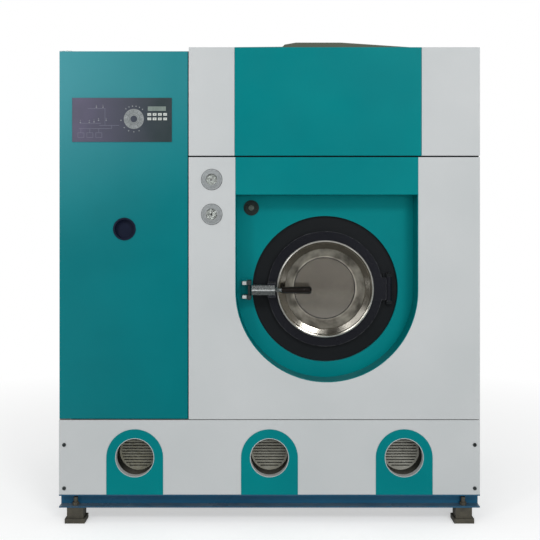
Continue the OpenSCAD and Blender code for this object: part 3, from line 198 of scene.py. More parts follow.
def make(name, bm, material, body):
    """A piece from mesh data in metres, shaded smooth except at its hard edges."""
    bmesh.ops.recalc_face_normals(bm, faces=bm.faces)
    mesh = bpy.data.meshes.new(name)
    bm.to_mesh(mesh)
    bm.free()
    mesh.shade_smooth()
    mesh.set_sharp_from_angle(angle=math.radians(38))
    mesh.materials.append(material)
    piece = bpy.data.objects.new(name, mesh)
    bpy.context.scene.collection.objects.link(piece)
    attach(piece, body)
    return piece


def turn(bm, centre, axis, profile, steps=64):
    """A turned form about an axis. Each profile point is a radius and a distance along the axis, in mm."""
    axis = Vector(axis).normalized()
    side = axis.orthogonal().normalized()
    up = axis.cross(side)
    rings = []
    for radius, along in profile:
        middle = Vector(centre) + axis * along
        if radius == 0:
            rings.append([bm.verts.new(middle / 1000)])
            continue
        turns = [2 * math.pi * i / steps for i in range(steps)]
        rings.append([bm.verts.new((middle + (side * math.cos(a) + up * math.sin(a)) * radius) / 1000)
                      for a in turns])
    for one, two in zip(rings, rings[1:]):
        for i in range(steps):
            j = (i + 1) % steps
            ring = [one[i % len(one)], one[j % len(one)], two[j % len(two)], two[i % len(two)]]
            bm.faces.new(list(dict.fromkeys(ring)))


sleeve = [(vent_r + out, along) for out, along in
          ((-0.1, -30), (-0.1, 1.8), (0.9, 2.1), (1.6, 1.6), (1.2, 2.6), (-0.2, 2.9), (-0.7, 2.3),
           (-0.7, -30), (-0.1, -30))]
sleeves = bmesh.new()
for i in (-1, 0, 1):
    turn(sleeves, (i * arch_pitch, front_y, vent_z), (0, -1, 0), sleeve, 96)
bmesh.ops.remove_doubles(sleeves, verts=sleeves.verts, dist=1e-6)
make("vent_sleeves", sleeves, white_coat, "cabinet")

# ------------------------------------------------------------------- screws
# Socket screws at the panel's corners, blackened steel with dust in the sockets,
# so that each reads as a small dark dot.


def bright_metal(name, colour, tarnish, rough, metal=1.0):
    """Plated, anodised or buffed metal: slightly cloudy, with soft dimples and handling marks."""
    material, tree, shader, place = begin(name, {"Metallic": metal})
    cloudy = patches(tree, place, 9, colour, tarnish, 1.0, 4.0)
    handled = drift(tree, place, 14, rough - 0.05, rough + 0.08)
    surface(tree, shader, cloudy, drift(tree, place, 8, 0.0, 1.0, 1.0), 0.003, handled)
    return material


blackened = bright_metal("blackened_screw_steel", "#4b5152", "#3a3f3f", 0.5, 0.7)
finish(blackened, "lower_panel_screws")
fold(0.6, "lower_panel_screws")
# Zinc of the small fasteners: a cold grey that is bright beside the paint.
zinc = bright_metal("bright_zinc_plate", "#b9bcbd", "#9a9c98", 0.34)

# --------------------------------------------------------- main front panel
# Large folded panel of white coated sheet, hung on the frame, with the U-shaped opening
# and, at its left, the column that the gauges are set in.
finish(white_coat, "main_front_panel")
fold(0.9, "main_front_panel")

# ----------------------------------------------------------------- recess pan
# Teal pan welded up from a strip, a face plate and a rolled side wall, and set
# in the opening from behind. Its weld is ground and filled before coating.
finish(teal_coat, "recess_pan")

# --------------------------------------------------------------- upper fascia
# Three folded trays of sheet side by side over a shadow gap, white, teal and white, hung on
# the frame. They have the powder coats of the panel and the pan.
finish(white_coat, "fascia_sides")
finish(teal_coat, "fascia_centre")
fold(1.2, "fascia_sides", "fascia_centre")

# Black foam strip in the gap, set back from the front, keeps it dark and shut from the sides.
# Its cut cells scatter all light, so that it has no shine.
material, tree, shader, place = begin("closed_cell_foam", {"Roughness": 0.9, "Specular IOR Level": 0.1})
cells = drift(tree, place, 1.8, 0.0, 1.0, 2.0)
surface(tree, shader, patches(tree, place, 1.8, "#121313", "#1e1f1f", 1.0, 2.0), cells, 0.2)
gap_z0, gap_z1, foam_x0, foam_x1, slack = 1392, 1398, -305, 798, 0.1
foam_low = Vector((foam_x0, front_y + 12, gap_z0 + slack)) / 1000
foam_high = Vector((foam_x1, front_y + 37, gap_z1 - slack)) / 1000
foam = bmesh.new()
middle, extent = (foam_low + foam_high) / 2, foam_high - foam_low
bmesh.ops.create_cube(foam, size=1, matrix=Matrix.LocRotScale(middle, None, extent))
make("shadow_gap_foam", foam, material, "cabinet")

# ------------------------------------------------------- side and rear panels
# Flat white sheets, fixed to the tube frame with pan head screws along their
# edges. The rear ones are folded trays, with ventilation slots behind the switchgear.
finish(white_coat, "side_panels", "rear_panels")
fold(0.5, "side_panels")

side_x, rear_y = 800, 527
pan_head = [(0, 2.1), (2.6, 2.0), (4.4, 1.4), (5.2, 0.4), (5.2, -0.6)]
heads = bmesh.new()
for x, out in ((-side_x, -1), (side_x, 1)):
    for y in (-480, -150, 150, 440):
        for z in (134, 372, 424, 1100, 1772):
            turn(heads, (x, y, z), (out, 0, 0), pan_head, 20)
for z in (134, 372):
    for x in (-776, -390, 0, 390, 776):
        turn(heads, (x, rear_y, z), (0, 1, 0), pan_head, 20)
for z in (424, 1100, 1760):
    for x in (-776, -334, -288, 246, 776):
        turn(heads, (x, rear_y, z), (0, 1, 0), pan_head, 20)
make("panel_screw_heads", heads, zinc, "cabinet")

# Hoods pressed over the ventilation slots, open downwards and closed towards their ends.
hood_x0, hood_x1, hood_end, hood_out, hood_high = -654, -466, 4, 8, 13
slot_z, slot_pitch = 1450, 28
hoods = bmesh.new()
for k in range(8):
    z = slot_z + slot_pitch * k
    rows = []
    for x, high in ((hood_x0, 0.2), (hood_x0 + hood_end, 1.0), (hood_x1 - hood_end, 1.0), (hood_x1, 0.2)):
        curve = [(-1 + hood_out * high * math.sin(a), z - 2 + hood_high * math.cos(a)) for a in
                 [math.pi / 2 * j / 6 for j in range(7)]]
        rows.append([hoods.verts.new((x / 1000, (rear_y + out) / 1000, up / 1000)) for out, up in curve])
    for one, two in zip(rows, rows[1:]):
        for j in range(6):
            hoods.faces.new((one[j], one[j + 1], two[j + 1], two[j]))
hood = make("rear_louvre_hoods", hoods, white_coat, "cabinet")
skin = hood.modifiers.new("sheet_thickness", "SOLIDIFY")
skin.thickness = 0.0012
skin.offset = 0

# --------------------------------------------------------------- roof, cover
# White roof sheets, and a low cover of thin sheet over the air duct, brushed a dull
# grey-green and chipped along its edges. Nobody wipes them: dust lies in patches on both.
finish(painted("white_coat_dusty_roof", "#c6c9c7", "#bcbfba", 0.5, 0.42, 3), "roof_panels")
cover_paint = painted("grey_green_air_dry_paint", "#5f6559", "#565b50", 0.2, 0.5, 5, 0.4, "#8a8a80", 0.15)
finish(cover_paint, "duct_cover")
fold(0.6, "duct_cover", "roof_panels")

# --------------------------------------------------------- drum shell, hinge
# Rolled steel shell behind the pan. Its end plate shows as a wide black ring
# round the door: satin black enamel, which hides all but its edges.
black_enamel = painted("satin_black_enamel", "#181b1d", "#1d1f22", 0.2, 0.40, 4, shine=0.12)
finish(black_enamel, "drum_shell", "door_hinge_bracket")

# ------------------------------------------------------------- door flange
# Turned steel flange of the loading door, same black enamel but smoother from
# handling, so its outer edge reads as a thin light arc.
flange_enamel = painted("rubbed_black_enamel", "#17181d", "#1e1f25", 0.15, 0.26, 5, 0.8, "#6c6e70", 0.15)
finish(flange_enamel, "door_flange")
fold(1.5, "door_flange")

# ----------------------------------------------------------------- door ring
# Dished ring spun from 3 mm stainless sheet and polished on the lathe. The
# polish leaves fine rings, so highlights stretch along the bands.
door_x, drum_z = 218, 884


def stainless(name, colour, shade, rough, groove_mm, depth_mm, centre_mm=None, metal=1.0):
    """Stainless steel polished in rings about an axis along Y, or brushed along X without a centre."""
    material, tree, shader, place = begin(name, {"Metallic": metal})
    # polishing lines lie about 0.1 mm apart, and are drawn coarser so that they show
    if centre_mm:
        off = add(tree, "VectorMath", {0: place, 1: [c / 1000 for c in centre_mm]}, operation="SUBTRACT")
        flat = add(tree, "VectorMath", {0: off.outputs[0], 1: (1, 0, 1)}, operation="MULTIPLY")
        reach = add(tree, "VectorMath", {0: flat.outputs[0]}, operation="LENGTH").outputs["Value"]
        grooves = add(tree, "TexNoise", {"W": reach, "Scale": 1000 / groove_mm, "Detail": 2.0},
                      noise_dimensions="1D").outputs[0]
    else:
        long = add(tree, "Mapping", {"Vector": place, "Scale": (0.02, 1, 1)}).outputs[0]
        grooves = add(tree, "TexNoise", {"Vector": long, "Scale": 1000 / groove_mm, "Detail": 2.0}).outputs[0]
    wiped = drift(tree, place, 45, rough - 0.03, rough + 0.06)
    surface(tree, shader, patches(tree, place, 60, colour, shade), grooves, depth_mm, wiped)
    return material


door_axis = (door_x, 0, drum_z)
polished = stainless("stainless_polished_on_lathe", "#b1ada3", "#a19d94", 0.15, 1.6, 0.005, door_axis)
finish(polished, "door_rim")
# the rolled bead at its edge is painted light, as a painted highlight for the thin bright line along it,
# and the inner band is only rough polished, its pale cloudy colour partly painted reflection for soft arcs of
# light
bead_highlight = bright_metal("stainless_bead_painted_highlight", "#e4e2dc", "#d3d0c9", 0.18, 0.6)
cloudy = stainless("stainless_rough_polished_and_painted_reflection", "#bcb7ab", "#5d5952", 0.34, 1.6, 0.004, door_axis, 0.5)
bead_r, step_r = 183, 156
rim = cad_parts["door_rim"].data
rim.materials.append(bead_highlight)
rim.materials.append(cloudy)
for face in rim.polygons:
    x, y, z = [1000 * v for v in face.center]
    reach = math.hypot(x - door_x, z - drum_z)
    face.material_index = 1 if reach > bead_r else 2 if reach < step_r else 0

# ------------------------------------------------------- door glass and seals
# Toughened flat glass under a warm grey film of lint and solvent haze, clamped in
# moulded black rubber. The gasket behind the flange is the same rubber.
material, tree, shader, place = begin("hazed_toughened_glass", {
    "Roughness": 0.06, "Transmission Weight": 0.82, "IOR": 1.5})
film = patches(tree, place, 95, "#9c968b", "#8c867c", 1.0, 2.0)
# lint settles on the lower half, which reads lighter
height = add(tree, "SeparateXYZ", {0: place}).outputs[2]
top, bottom = (drum_z + 6) / 1000, (drum_z - 94) / 1000
settled = add(tree, "MapRange", {0: height, 1: top, 2: bottom, 3: 0.0, 4: 0.75}).outputs[0]
film = add(tree, "Mix", {0: settled, 6: film, 7: "#d6d1c6"}, data_type="RGBA").outputs[2]
surface(tree, shader, film, drift(tree, place, 30, 0.0, 1.0), 0.01)
finish(material, "door_glass")


def moulded(name, colour, scuffed, rough, grain_mm, depth_mm, shine=0.45):
    """Moulded plastic or rubber: even colour, fine texture from the tool, light scuffs."""
    material, tree, shader, place = begin(name, {"Specular IOR Level": shine})
    # the grain of the mould is drawn coarser than it is, so that it shows
    rubbed = patches(tree, place, 22, colour, scuffed, 0.6, 6.0)
    handled = drift(tree, place, 30, rough - 0.05, rough + 0.08)
    surface(tree, shader, rubbed, drift(tree, place, grain_mm, 0.0, 1.0, 2.0), depth_mm, handled)
    return material


# Solvent-proof rubber: near black and dull.
rubber = moulded("nitrile_rubber", "#1b1c1d", "#262726", 0.62, 1.5, 0.03)
finish(rubber, "door_seals")

# Lip of the glass seal, squeezed out a little at the ring's inner edge. Its black is also painted shade, the
# thin dark crescent round the glass.
dish_r, glass_y = 126, -423
lip = bmesh.new()
turn(lip, (door_x, glass_y, drum_z), (0, -1, 0),
     [(dish_r + out, along) for out, along in
      ((-4.2, -0.1), (-4.2, 2.4), (-5.8, 2.0), (-7.0, -0.1), (-4.2, -0.1))], 128)
bmesh.ops.remove_doubles(lip, verts=lip.verts, dist=1e-6)
make("glass_seal_lip", lip, rubber, "loading_door")

# --------------------------------------------------------------- door latch
# Machined lever of nickel plated steel that lies across the flange on a pin,
# with a nut against the tapered dark grip. Its edges and rib carry a painted highlight, its lower face a
# painted shade.
nickel = bright_metal("nickel_plate_worn", "#a9aeaf", "#9ca1a2", 0.25, 0.9)
shaded = bright_metal("nickel_plate_painted_shade", "#7f8586", "#717677", 0.3, 0.9)
painted_highlight_nickel = bright_metal("nickel_plate_painted_highlight", "#e6e9e9", "#d5d9d9", 0.22, 0.5)
finish(nickel, "latch_lever")
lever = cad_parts["latch_lever"].data
lever.materials.append(shaded)
lever.materials.append(painted_highlight_nickel)
# painted highlight on the rib along the bar and on its folded edges, and painted shade on the lower half of
# its face
bar_face = -549
for face in lever.polygons:
    x, y, z = [1000 * v for v in face.center]
    if y < bar_face - 0.3:
        face.material_index = 2
    elif y < bar_face + 0.2 and z < drum_z:
        face.material_index = 1
fold(1.6, "latch_lever")
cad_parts["latch_lever"].modifiers["folded_edge"].material = 2
# Thermoset grip, pressed in a polished tool: almost black, with a sharp highlight.
grip_plastic = moulded("bakelite_grip", "#120e0c", "#1b1512", 0.2, 4.0, 0.002)
finish(grip_plastic, "latch_grip")

# The keeper's two prongs, bright with the painted highlight, end in blackened cheeks that hold
# its pin. Its foot is coated with the pan.
foot_y, cheek_x = -469.5, -86
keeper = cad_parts["latch_keeper"].data
keeper.materials.clear()
for material in (painted_highlight_nickel, teal_coat, blackened):
    keeper.materials.append(material)
for face in keeper.polygons:
    x, y, z = [1000 * v for v in face.center]
    face.material_index = 1 if y > foot_y else 2 if x > cheek_x else 0
fold(1.0, "latch_keeper")

nut_x, ferrule_x, latch_y, neck_r = 23, 43, -533, 6.2
nut = bmesh.new()
turn(nut, (nut_x, latch_y, drum_z), (1, 0, 0),
     [(neck_r, 0), (9.2, 0), (10.4, 1), (10.4, 7), (9.2, 8), (neck_r, 8), (neck_r, 0)], 6)
bmesh.ops.remove_doubles(nut, verts=nut.verts, dist=1e-6)
make("latch_lock_nut", nut, nickel, "latch")

# Ferrule against the grip.
ferrule = bmesh.new()
turn(ferrule, (ferrule_x, latch_y, drum_z), (1, 0, 0),
     [(neck_r, 0), (8.4, 0), (9, 0.8), (9, 3.2), (8.4, 3.8), (neck_r, 3.8), (neck_r, 0)], 40)
bmesh.ops.remove_doubles(ferrule, verts=ferrule.verts, dist=1e-6)
make("latch_ferrule", ferrule, nickel, "latch")

# ---------------------------------------------------------------- the gauges
# Panel pressure gauges: stepped bezel in satin chrome, enamelled white dial with
# printed graduations, black needle, flat glass.
# Satin plate: a soft light grey that shows the steps by their shading.
chrome = bright_metal("satin_chrome", "#b3b8ba", "#a1a6a8", 0.36, 0.45)
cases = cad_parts["gauge_cases"].data
cases.materials.clear()
cases.materials.append(chrome)
cases.materials.append(blackened)
# the steps' side walls are dark, as painted shade for the thin rings of shade round the steps; the faces are
# wiped
for face in cases.polygons:
    face.material_index = 1 if abs(face.normal.y) < 0.5 else 0
fold(0.5, "gauge_cases")

# Stoved enamel on the dial plate: a plain pale face behind the print.
material, tree, shader, place = begin("stoved_white_dial", {"Roughness": 0.45})
enamel = patches(tree, place, 12, "#bdc0bd", "#afb3af")
surface(tree, shader, enamel, drift(tree, place, 1.0, 0.0, 1.0), 0.003)
finish(material, "gauge_dials")

# Flat float glass: clear, with a faint ripple in what it mirrors.
material, tree, shader, place = begin("gauge_glass", {
    "Base Color": "#f6f8f7", "Roughness": 0.02, "Transmission Weight": 1.0, "IOR": 1.45})
ripple = add(tree, "Bump", {"Height": drift(tree, place, 8, 0.0, 1.0), "Distance": 0.002 / 1000})
tree.links.new(ripple.outputs[0], shader.inputs["Normal"])
finish(material, "gauge_lenses")

# Black of the print and the needles, matt so that it reads at any angle.
ink = moulded("black_ink", "#161616", "#222222", 0.5, 0.8, 0.002)
finish(ink, "needle_1", "needle_2")

gauge_x, gauge_heights = -219.5, (1175, 1307)
dial_face, bezel_face, flange_face = front_y - 1.2, front_y - 11.4, front_y - 4
zero_deg, tick_deg, numeral_r, screw_r, ink_t = 225, 5.4, 13.6, 35.3, 0.12


def flat_bar(bm, centre, y, angle, inner, outer, width):
    """A printed mark on a dial that looks towards -Y, from one radius to another."""
    out = Vector((math.cos(angle), 0, math.sin(angle)))
    side = Vector((-out.z, 0, out.x)) * width / 2
    base = [out * inner - side, out * outer - side, out * outer + side, out * inner + side]
    middle = Vector((centre[0], y, centre[1]))
    low = [bm.verts.new((middle + p) / 1000) for p in base]
    high = [bm.verts.new((middle + p + Vector((0, -ink_t, 0))) / 1000) for p in base]
    bm.faces.new(low)
    bm.faces.new(high[::-1])
    for i in range(4):
        j = (i + 1) % 4
        bm.faces.new((low[i], high[i], high[j], low[j]))


def numeral(bm, text, size, x, y, z):
    """A printed number facing the front, centred on x and z."""
    curve = bpy.data.curves.new("numeral", "FONT")
    curve.body = text
    curve.size = size / 1000
    curve.extrude = ink_t / 2000
    curve.align_x = "CENTER"
    curve.align_y = "CENTER"
    holder = bpy.data.objects.new("numeral", curve)
    bpy.context.scene.collection.objects.link(holder)
    bpy.context.view_layer.update()
    shape = bpy.data.meshes.new_from_object(holder.evaluated_get(bpy.context.evaluated_depsgraph_get()))
    shape.transform(Matrix.Translation((x / 1000, y / 1000, z / 1000)) @ Matrix.Rotation(math.pi / 2, 4, "X"))
    bm.from_mesh(shape)
    bpy.data.objects.remove(holder)
    bpy.data.curves.remove(curve)
    bpy.data.meshes.remove(shape)


for number, gauge_z in enumerate(gauge_heights, 1):
    # black rubber rings under the flange and round the dial, seen as thin dark circles; the one under the
    # flange is also painted shade for the shadow at its edge
    rings = bmesh.new()
    for inner, outer, base, rise in ((38.6, 40.4, front_y, 1.4), (21.4, 23.4, bezel_face, 0.7)):
        turn(rings, (gauge_x, base, gauge_z), (0, -1, 0),
             [(inner, -0.1), (inner, rise), (outer - 0.4, rise), (outer, rise - 0.5), (outer, -0.1),
              (inner, -0.1)])
    bmesh.ops.remove_doubles(rings, verts=rings.verts, dist=1e-6)
    make(f"gauge_{number}_rings", rings, rubber, "cabinet")
    print_work = bmesh.new()
    for step in range(51):
        angle = math.radians(zero_deg - tick_deg * step)
        inner, width = (17.2, 0.7) if step % 10 == 0 else (18.4, 0.5) if step % 5 == 0 else (19.4, 0.28)
        flat_bar(print_work, (gauge_x, gauge_z), dial_face, angle, inner, 21.0, width)
    for step in range(6):
        angle = math.radians(zero_deg - 10 * tick_deg * step)
        x, z = gauge_x + numeral_r * math.cos(angle), gauge_z + numeral_r * math.sin(angle)
        numeral(print_work, str(2 * step), 5.2, x, dial_face - ink_t / 2, z)
    make(f"gauge_{number}_scale", print_work, ink, "cabinet")
    screws = bmesh.new()
    for turn_by in (90, 210, 330):
        x = gauge_x + screw_r * math.cos(math.radians(turn_by))
        z = gauge_z + screw_r * math.sin(math.radians(turn_by))
        turn(screws, (x, flange_face, z), (0, -1, 0), [(0, 1.0), (1.4, 0.9), (2.1, 0.4), (2.3, -0.2)], 18)
    make(f"gauge_{number}_screws", screws, chrome, "cabinet")

# ------------------------------------------------------------ jog push-button
# Push-button of the jog control, set in a hole of the pan. Its bezel is black moulded
# nylon, and its cap is turned aluminium, anodised to a dull grey-green sheen.
bezel_plastic = moulded("glass_filled_nylon", "#14211f", "#1f2b29", 0.32, 1.2, 0.01)
finish(bezel_plastic, "jog_bezel")
fold(0.8, "jog_bezel")
cap_metal = bright_metal("anodised_aluminium_cap", "#8b9a92", "#7b8a82", 0.3)
finish(cap_metal, "jog_button")
fold(0.8, "jog_button")

# -------------------------------------------------------- control cabinet door
# Tall folded door of teal coated sheet on pivot pins, with a cup moulded in ABS, so dark a
# blue that it looks deep. The coat is painted paler towards the upper left, as painted
# light where light falls on it.
door_coat = painted("teal_powder_coat_painted_light", "#00747a", "#006b71", 0.12, 0.33, 2.8, shine=0.08)
tree = door_coat.node_tree
shader = next(node for node in tree.nodes if node.type == "BSDF_PRINCIPLED")
# painted light: the coat turns paler towards the upper left, where light falls on it
spot = add(tree, "SeparateXYZ", {0: add(tree, "TexCoord", {}).outputs["Object"]}).outputs
leftward = add(tree, "MapRange", {0: spot[0], 1: -0.36, 2: -0.82, 4: 0.33}).outputs[0]
upward = add(tree, "MapRange", {0: spot[2], 1: 0.95, 2: 1.72}, interpolation_type="SMOOTHSTEP").outputs[0]
both = add(tree, "Math", {0: upward, 1: 0.22, 2: leftward}, operation="MULTIPLY_ADD").outputs[0]
lower = add(tree, "MapRange", {0: upward, 3: 0.15}).outputs[0]
painted_light_amount = add(tree, "Math", {0: both, 1: lower}, operation="MULTIPLY").outputs[0]
coat = shader.inputs["Base Color"].links[0].from_socket
lit_coat_colour = add(tree, "Mix", {0: painted_light_amount, 6: coat, 7: "#5ba6b1"}, data_type="RGBA").outputs[2]
tree.links.new(lit_coat_colour, shader.inputs["Base Color"])
finish(door_coat, "control_door")
fold(0.8, "control_door")
finish(zinc, "cabinet_hinges")
cup_plastic = moulded("abs_cup", "#10172b", "#161d33", 0.5, 1.5, 0.015, 0.15)
finish(cup_plastic, "control_door_cup")
fold(1.2, "control_door_cup")

# --------------------------------------------------------------- control panel
# Reverse-printed polycarbonate film on a plate: dark grey, satin, with a mimic
# diagram in faint lines, indicator lamps, a display window, keys and a pale disc.
material, tree, shader, place = begin("printed_polycarbonate_film", {"Specular IOR Level": 0.3})
across = add(tree, "SeparateXYZ", {0: place}).outputs[0]
toward_hinge = add(tree, "MapRange", {0: across, 1: -0.42, 2: -0.72}).outputs[0]
# painted light: the film turns from green-grey to a lighter purple grey towards the hinge side, where light
# falls
film = add(tree, "Mix", {0: toward_hinge, 6: "#243336", 7: "#58546a"}, data_type="RGBA").outputs[2]
film = patches(tree, place, 60, film, "#41464e", 0.3)
# its matt grain is finer than 0.9 mm, at which it is drawn so that it shows
surface(tree, shader, film, drift(tree, place, 0.9, 0.0, 1.0), 0.006, drift(tree, place, 40, 0.32, 0.42))
finish(material, "control_window")
fold(0.8, "control_window")

# Tinted window of the display, grey-green and smooth.
display_glass = moulded("display_window", "#7b8882", "#6d7a75", 0.25, 3.0, 0.004)
finish(display_glass, "panel_display")

# Disc printed in a pale grey that has worn in small patches.
material, tree, shader, place = begin("screen_printed_disc", {"Roughness": 0.4})
rubbed = patches(tree, place, 10, "#8f9495", "#757b7c", 1.0, 5.0)
surface(tree, shader, rubbed, drift(tree, place, 1.5, 0.0, 1.0), 0.01)
finish(material, "panel_dial")

# Moulded silicone keys: pale and soft, the lightest things on the panel.
key_plastic = moulded("silicone_key", "#c6cbc7", "#b2b8b4", 0.5, 1.0, 0.012)
finish(key_plastic, *[f"key_{k}" for k in range(1, 9)])
fold(1.2, *[f"key_{k}" for k in range(1, 9)])

# front of the film, and centre and front of the disc
panel_y = front_y - 3
disc_x, disc_z, disc_face = -515, 1537, panel_y - 1


def strip(bm, x0, x1, z0, z1, y, proud):
    """A thin raised patch on a face that looks towards -Y."""
    corners = [(x0, z0), (x1, z0), (x1, z1), (x0, z1)]
    low = [bm.verts.new((x / 1000, y / 1000, z / 1000)) for x, z in corners]
    high = [bm.verts.new((x / 1000, (y - proud) / 1000, z / 1000)) for x, z in corners]
    bm.faces.new(low)
    bm.faces.new(high[::-1])
    for i in range(4):
        j = (i + 1) % 4
        bm.faces.new((low[i], high[i], high[j], low[j]))


# Mimic diagram: three tanks as outlines, joined by lines, in a faint violet-grey ink.
line_ink = moulded("pale_screen_ink", "#77788a", "#6a6c7c", 0.45, 0.8, 0.002)
tank_z0, tank_z1, tank_wide, main_z, line = 1466, 1485, 24, 1500, 1
mimic = bmesh.new()
for x in (-728, -694, -660):
    end_x = x + tank_wide
    for x0, x1, z0, z1 in ((x, end_x, tank_z1 - line, tank_z1), (x, end_x, tank_z0, tank_z0 + line),
                           (x, x + line, tank_z0 + line, tank_z1 - line),
                           (end_x - line, end_x, tank_z0 + line, tank_z1 - line)):
        strip(mimic, x0, x1, z0, z1, panel_y, ink_t)
    strip(mimic, (x + end_x - line) / 2, (x + end_x + line) / 2, tank_z1, main_z, panel_y, ink_t)
for x0, x1, z0, z1 in ((-724, -600, main_z, main_z + line), (-646, -570, 1512, 1513),
                       (-720, -640, 1520, 1521), (-690, -625, 1576, 1577), (-625, -624, 1513, 1577),
                       (-600, -599, main_z + line, 1513)):
    strip(mimic, x0, x1, z0, z1, panel_y, ink_t)
make("mimic_lines", mimic, line_ink, "control_door")

# Dots in two arcs round the disc, and one over each lamp, in a white that has greyed.
pale_ink = moulded("white_screen_ink", "#9a9fa1", "#868b8d", 0.45, 0.8, 0.002)
mark_r = 49
marks = bmesh.new()
for angle in (128, 112, 96, 80, 64, 48, 186, 222, 246, 270, 294):
    spread = math.radians(angle)
    x, z = disc_x + mark_r * math.cos(spread), disc_z + mark_r * math.sin(spread)
    turn(marks, (x, panel_y, z), (0, -1, 0), [(0, ink_t), (2.0, ink_t), (2.0, -0.05)], 12)
lamp_places = ((-657, 1582), (-632, 1582), (-718, 1524), (-684, 1524), (-666, 1526), (-649, 1532),
               (-620, 1532))
for x, z in lamp_places:
    turn(marks, (x, panel_y, z + 7), (0, -1, 0), [(0, ink_t), (1.2, ink_t), (1.2, -0.05)], 10)
make("panel_marks", marks, pale_ink, "control_door")

# Indicator lamps: 5 mm domes of diffused resin, milky grey as none is lit.
lamps = bmesh.new()
for x, z in lamp_places:
    turn(lamps, (x, panel_y, z), (0, -1, 0), [(0, 1.6), (1.2, 1.4), (2.1, 0.8), (2.6, 0.0), (2.6, -0.4)], 20)
make("indicator_lamps", lamps, moulded("diffused_resin_lamp", "#8f9299", "#7f828a", 0.3, 2.0, 0.004),
     "control_door")

# Scale printed on the disc in a darker grey: radial strokes and two fine rings round its hub.
disc = bmesh.new()
for step in range(24):
    angle = math.radians(15 * step)
    inner = 26 if step % 2 == 0 else 30
    flat_bar(disc, (disc_x, disc_z), disc_face, angle, inner, 34.5, 1.5 if step % 2 == 0 else 0.8)
for radius in (17, 23):
    turn(disc, (disc_x, disc_face, disc_z), (0, -1, 0),
         [(radius - 0.7, 0), (radius - 0.7, ink_t), (radius + 0.7, ink_t), (radius + 0.7, 0)], 72)
grey_ink = moulded("grey_screen_ink", "#4d5355", "#585e60", 0.5, 0.8, 0.002)
make("disc_scale", disc, grey_ink, "control_door")

# Legends on the keys: plain bars, dots, crosses and arrows.
key_x, key_z, key_pitch, row_pitch, key_face = -456, 1537, 20, 17, panel_y - 2
for k in range(8):
    x, z = key_x + key_pitch * (k % 4), key_z + (row_pitch if k < 4 else 0)
    legend = bmesh.new()
    if k % 4 == 0:
        strip(legend, x - 3.4, x + 3.4, z - 0.5, z + 0.5, key_face, ink_t)
    elif k % 4 == 1:
        turn(legend, (x, key_face, z), (0, -1, 0), [(0, ink_t), (1.7, ink_t), (1.7, -0.05)], 16)
    elif k % 4 == 2:
        flat_bar(legend, (x, z), key_face, math.radians(90), -2.4, 2.4, 1.0)
        flat_bar(legend, (x, z), key_face, 0, -2.4, 2.4, 1.0)
    else:
        for lean in (45, 135):
            flat_bar(legend, (x, z + 1.6), key_face, math.radians(-lean), 0, 4.2, 0.9)
    make(f"key_{k + 1}_legend", legend, ink, f"key_{k + 1}")

# Display: seven-segment cells, none lit, that show as faint darker bars in its window.
cell_x, cell_z, cell_pitch, display_face = -455, 1570.2, 10.2, panel_y - 0.6
cells = bmesh.new()
for k in range(6):
    x = cell_x + cell_pitch * k
    for x0, x1, z0, z1 in ((1, 5, 11, 11.8), (1, 5, 5.5, 6.3), (1, 5, 0, 0.8), (0, 0.8, 6.4, 11),
                           (5.2, 6, 6.4, 11), (0, 0.8, 0.8, 5.4), (5.2, 6, 0.8, 5.4)):
        strip(cells, x + x0, x + x1, cell_z + z0, cell_z + z1, display_face, 0.1)
make("display_cells", cells, moulded("dark_segments", "#5d6964", "#566059", 0.3, 2.0, 0.002), "control_door")

# ----------------------------------------------------------------------- drum
# Stainless drum, its back plate and wrapper punched all over with 5 mm holes,
# pressed lifters welded in. Brushed by the load, so it is dull and warm.
material, tree, shader, place = begin("perforated_stainless", {"Metallic": 0.4})
# 5 mm holes at a pitch of 10 mm, in rows 8.66 mm apart
punched = (1000 / 10, 1000 / 10, 1000 / 8.66)
spaced = add(tree, "Mapping", {"Vector": place, "Scale": punched}).outputs[0]
holes = add(tree, "TexVoronoi", {"Vector": spaced, "Scale": 1.0, "Randomness": 0.0}).outputs["Distance"]
# painted shade: the holes are drawn as near-black spots, for the dark seen through them
dark = add(tree, "MapRange", {0: holes, 1: 0.20, 2: 0.26, 3: 0.55, 4: 0.0}).outputs[0]
sunk = add(tree, "MapRange", {0: holes, 1: 0.20, 2: 0.26, 3: -1.0, 4: 0.0}).outputs[0]
steel = patches(tree, place, 70, "#a39d91", "#948e83")
steel = add(tree, "Mix", {0: dark, 6: steel, 7: "#2c2b28"}, data_type="RGBA").outputs[2]
surface(tree, shader, steel, sunk, 0.8, drift(tree, place, 50, 0.42, 0.58))
finish(material, "drum")

# ------------------------------------------------ bearing, pulleys and motor
# Grey painted castings with their corners chipped to the iron, a finned motor body in
# hammer finish, whose mottle is coarse, and a ribbed belt of dull black rubber.
casting = painted("grey_paint_on_casting", "#4c5154", "#565a5c", 0.7, 0.5, 2.2, 0.8, "#8b8d8e")
finish(casting, "bearing_housing", "drum_pulley", "motor_pulley")
finish(painted("hammer_finish_motor", "#3d5560", "#455d67", 0.7, 0.38, 5.0, 0.6, "#8b8d8e"), "drive_motor")
finish(moulded("ribbed_belt_rubber", "#232527", "#2d2e2f", 0.7, 1.6, 0.05), "drive_belt")

# ----------------------------------------------- tanks, still, solvent circuit
# Welded stainless vessels and pipe, left in the mill finish of the sheet, which mirrors
# softly and in streaks along the rolling.
mill_steel = stainless("stainless_mill_finish", "#b2b3b1", "#9fa09d", 0.34, 1.2, 0.02)
finish(mill_steel, "solvent_tanks", "still", "solvent_circuit")

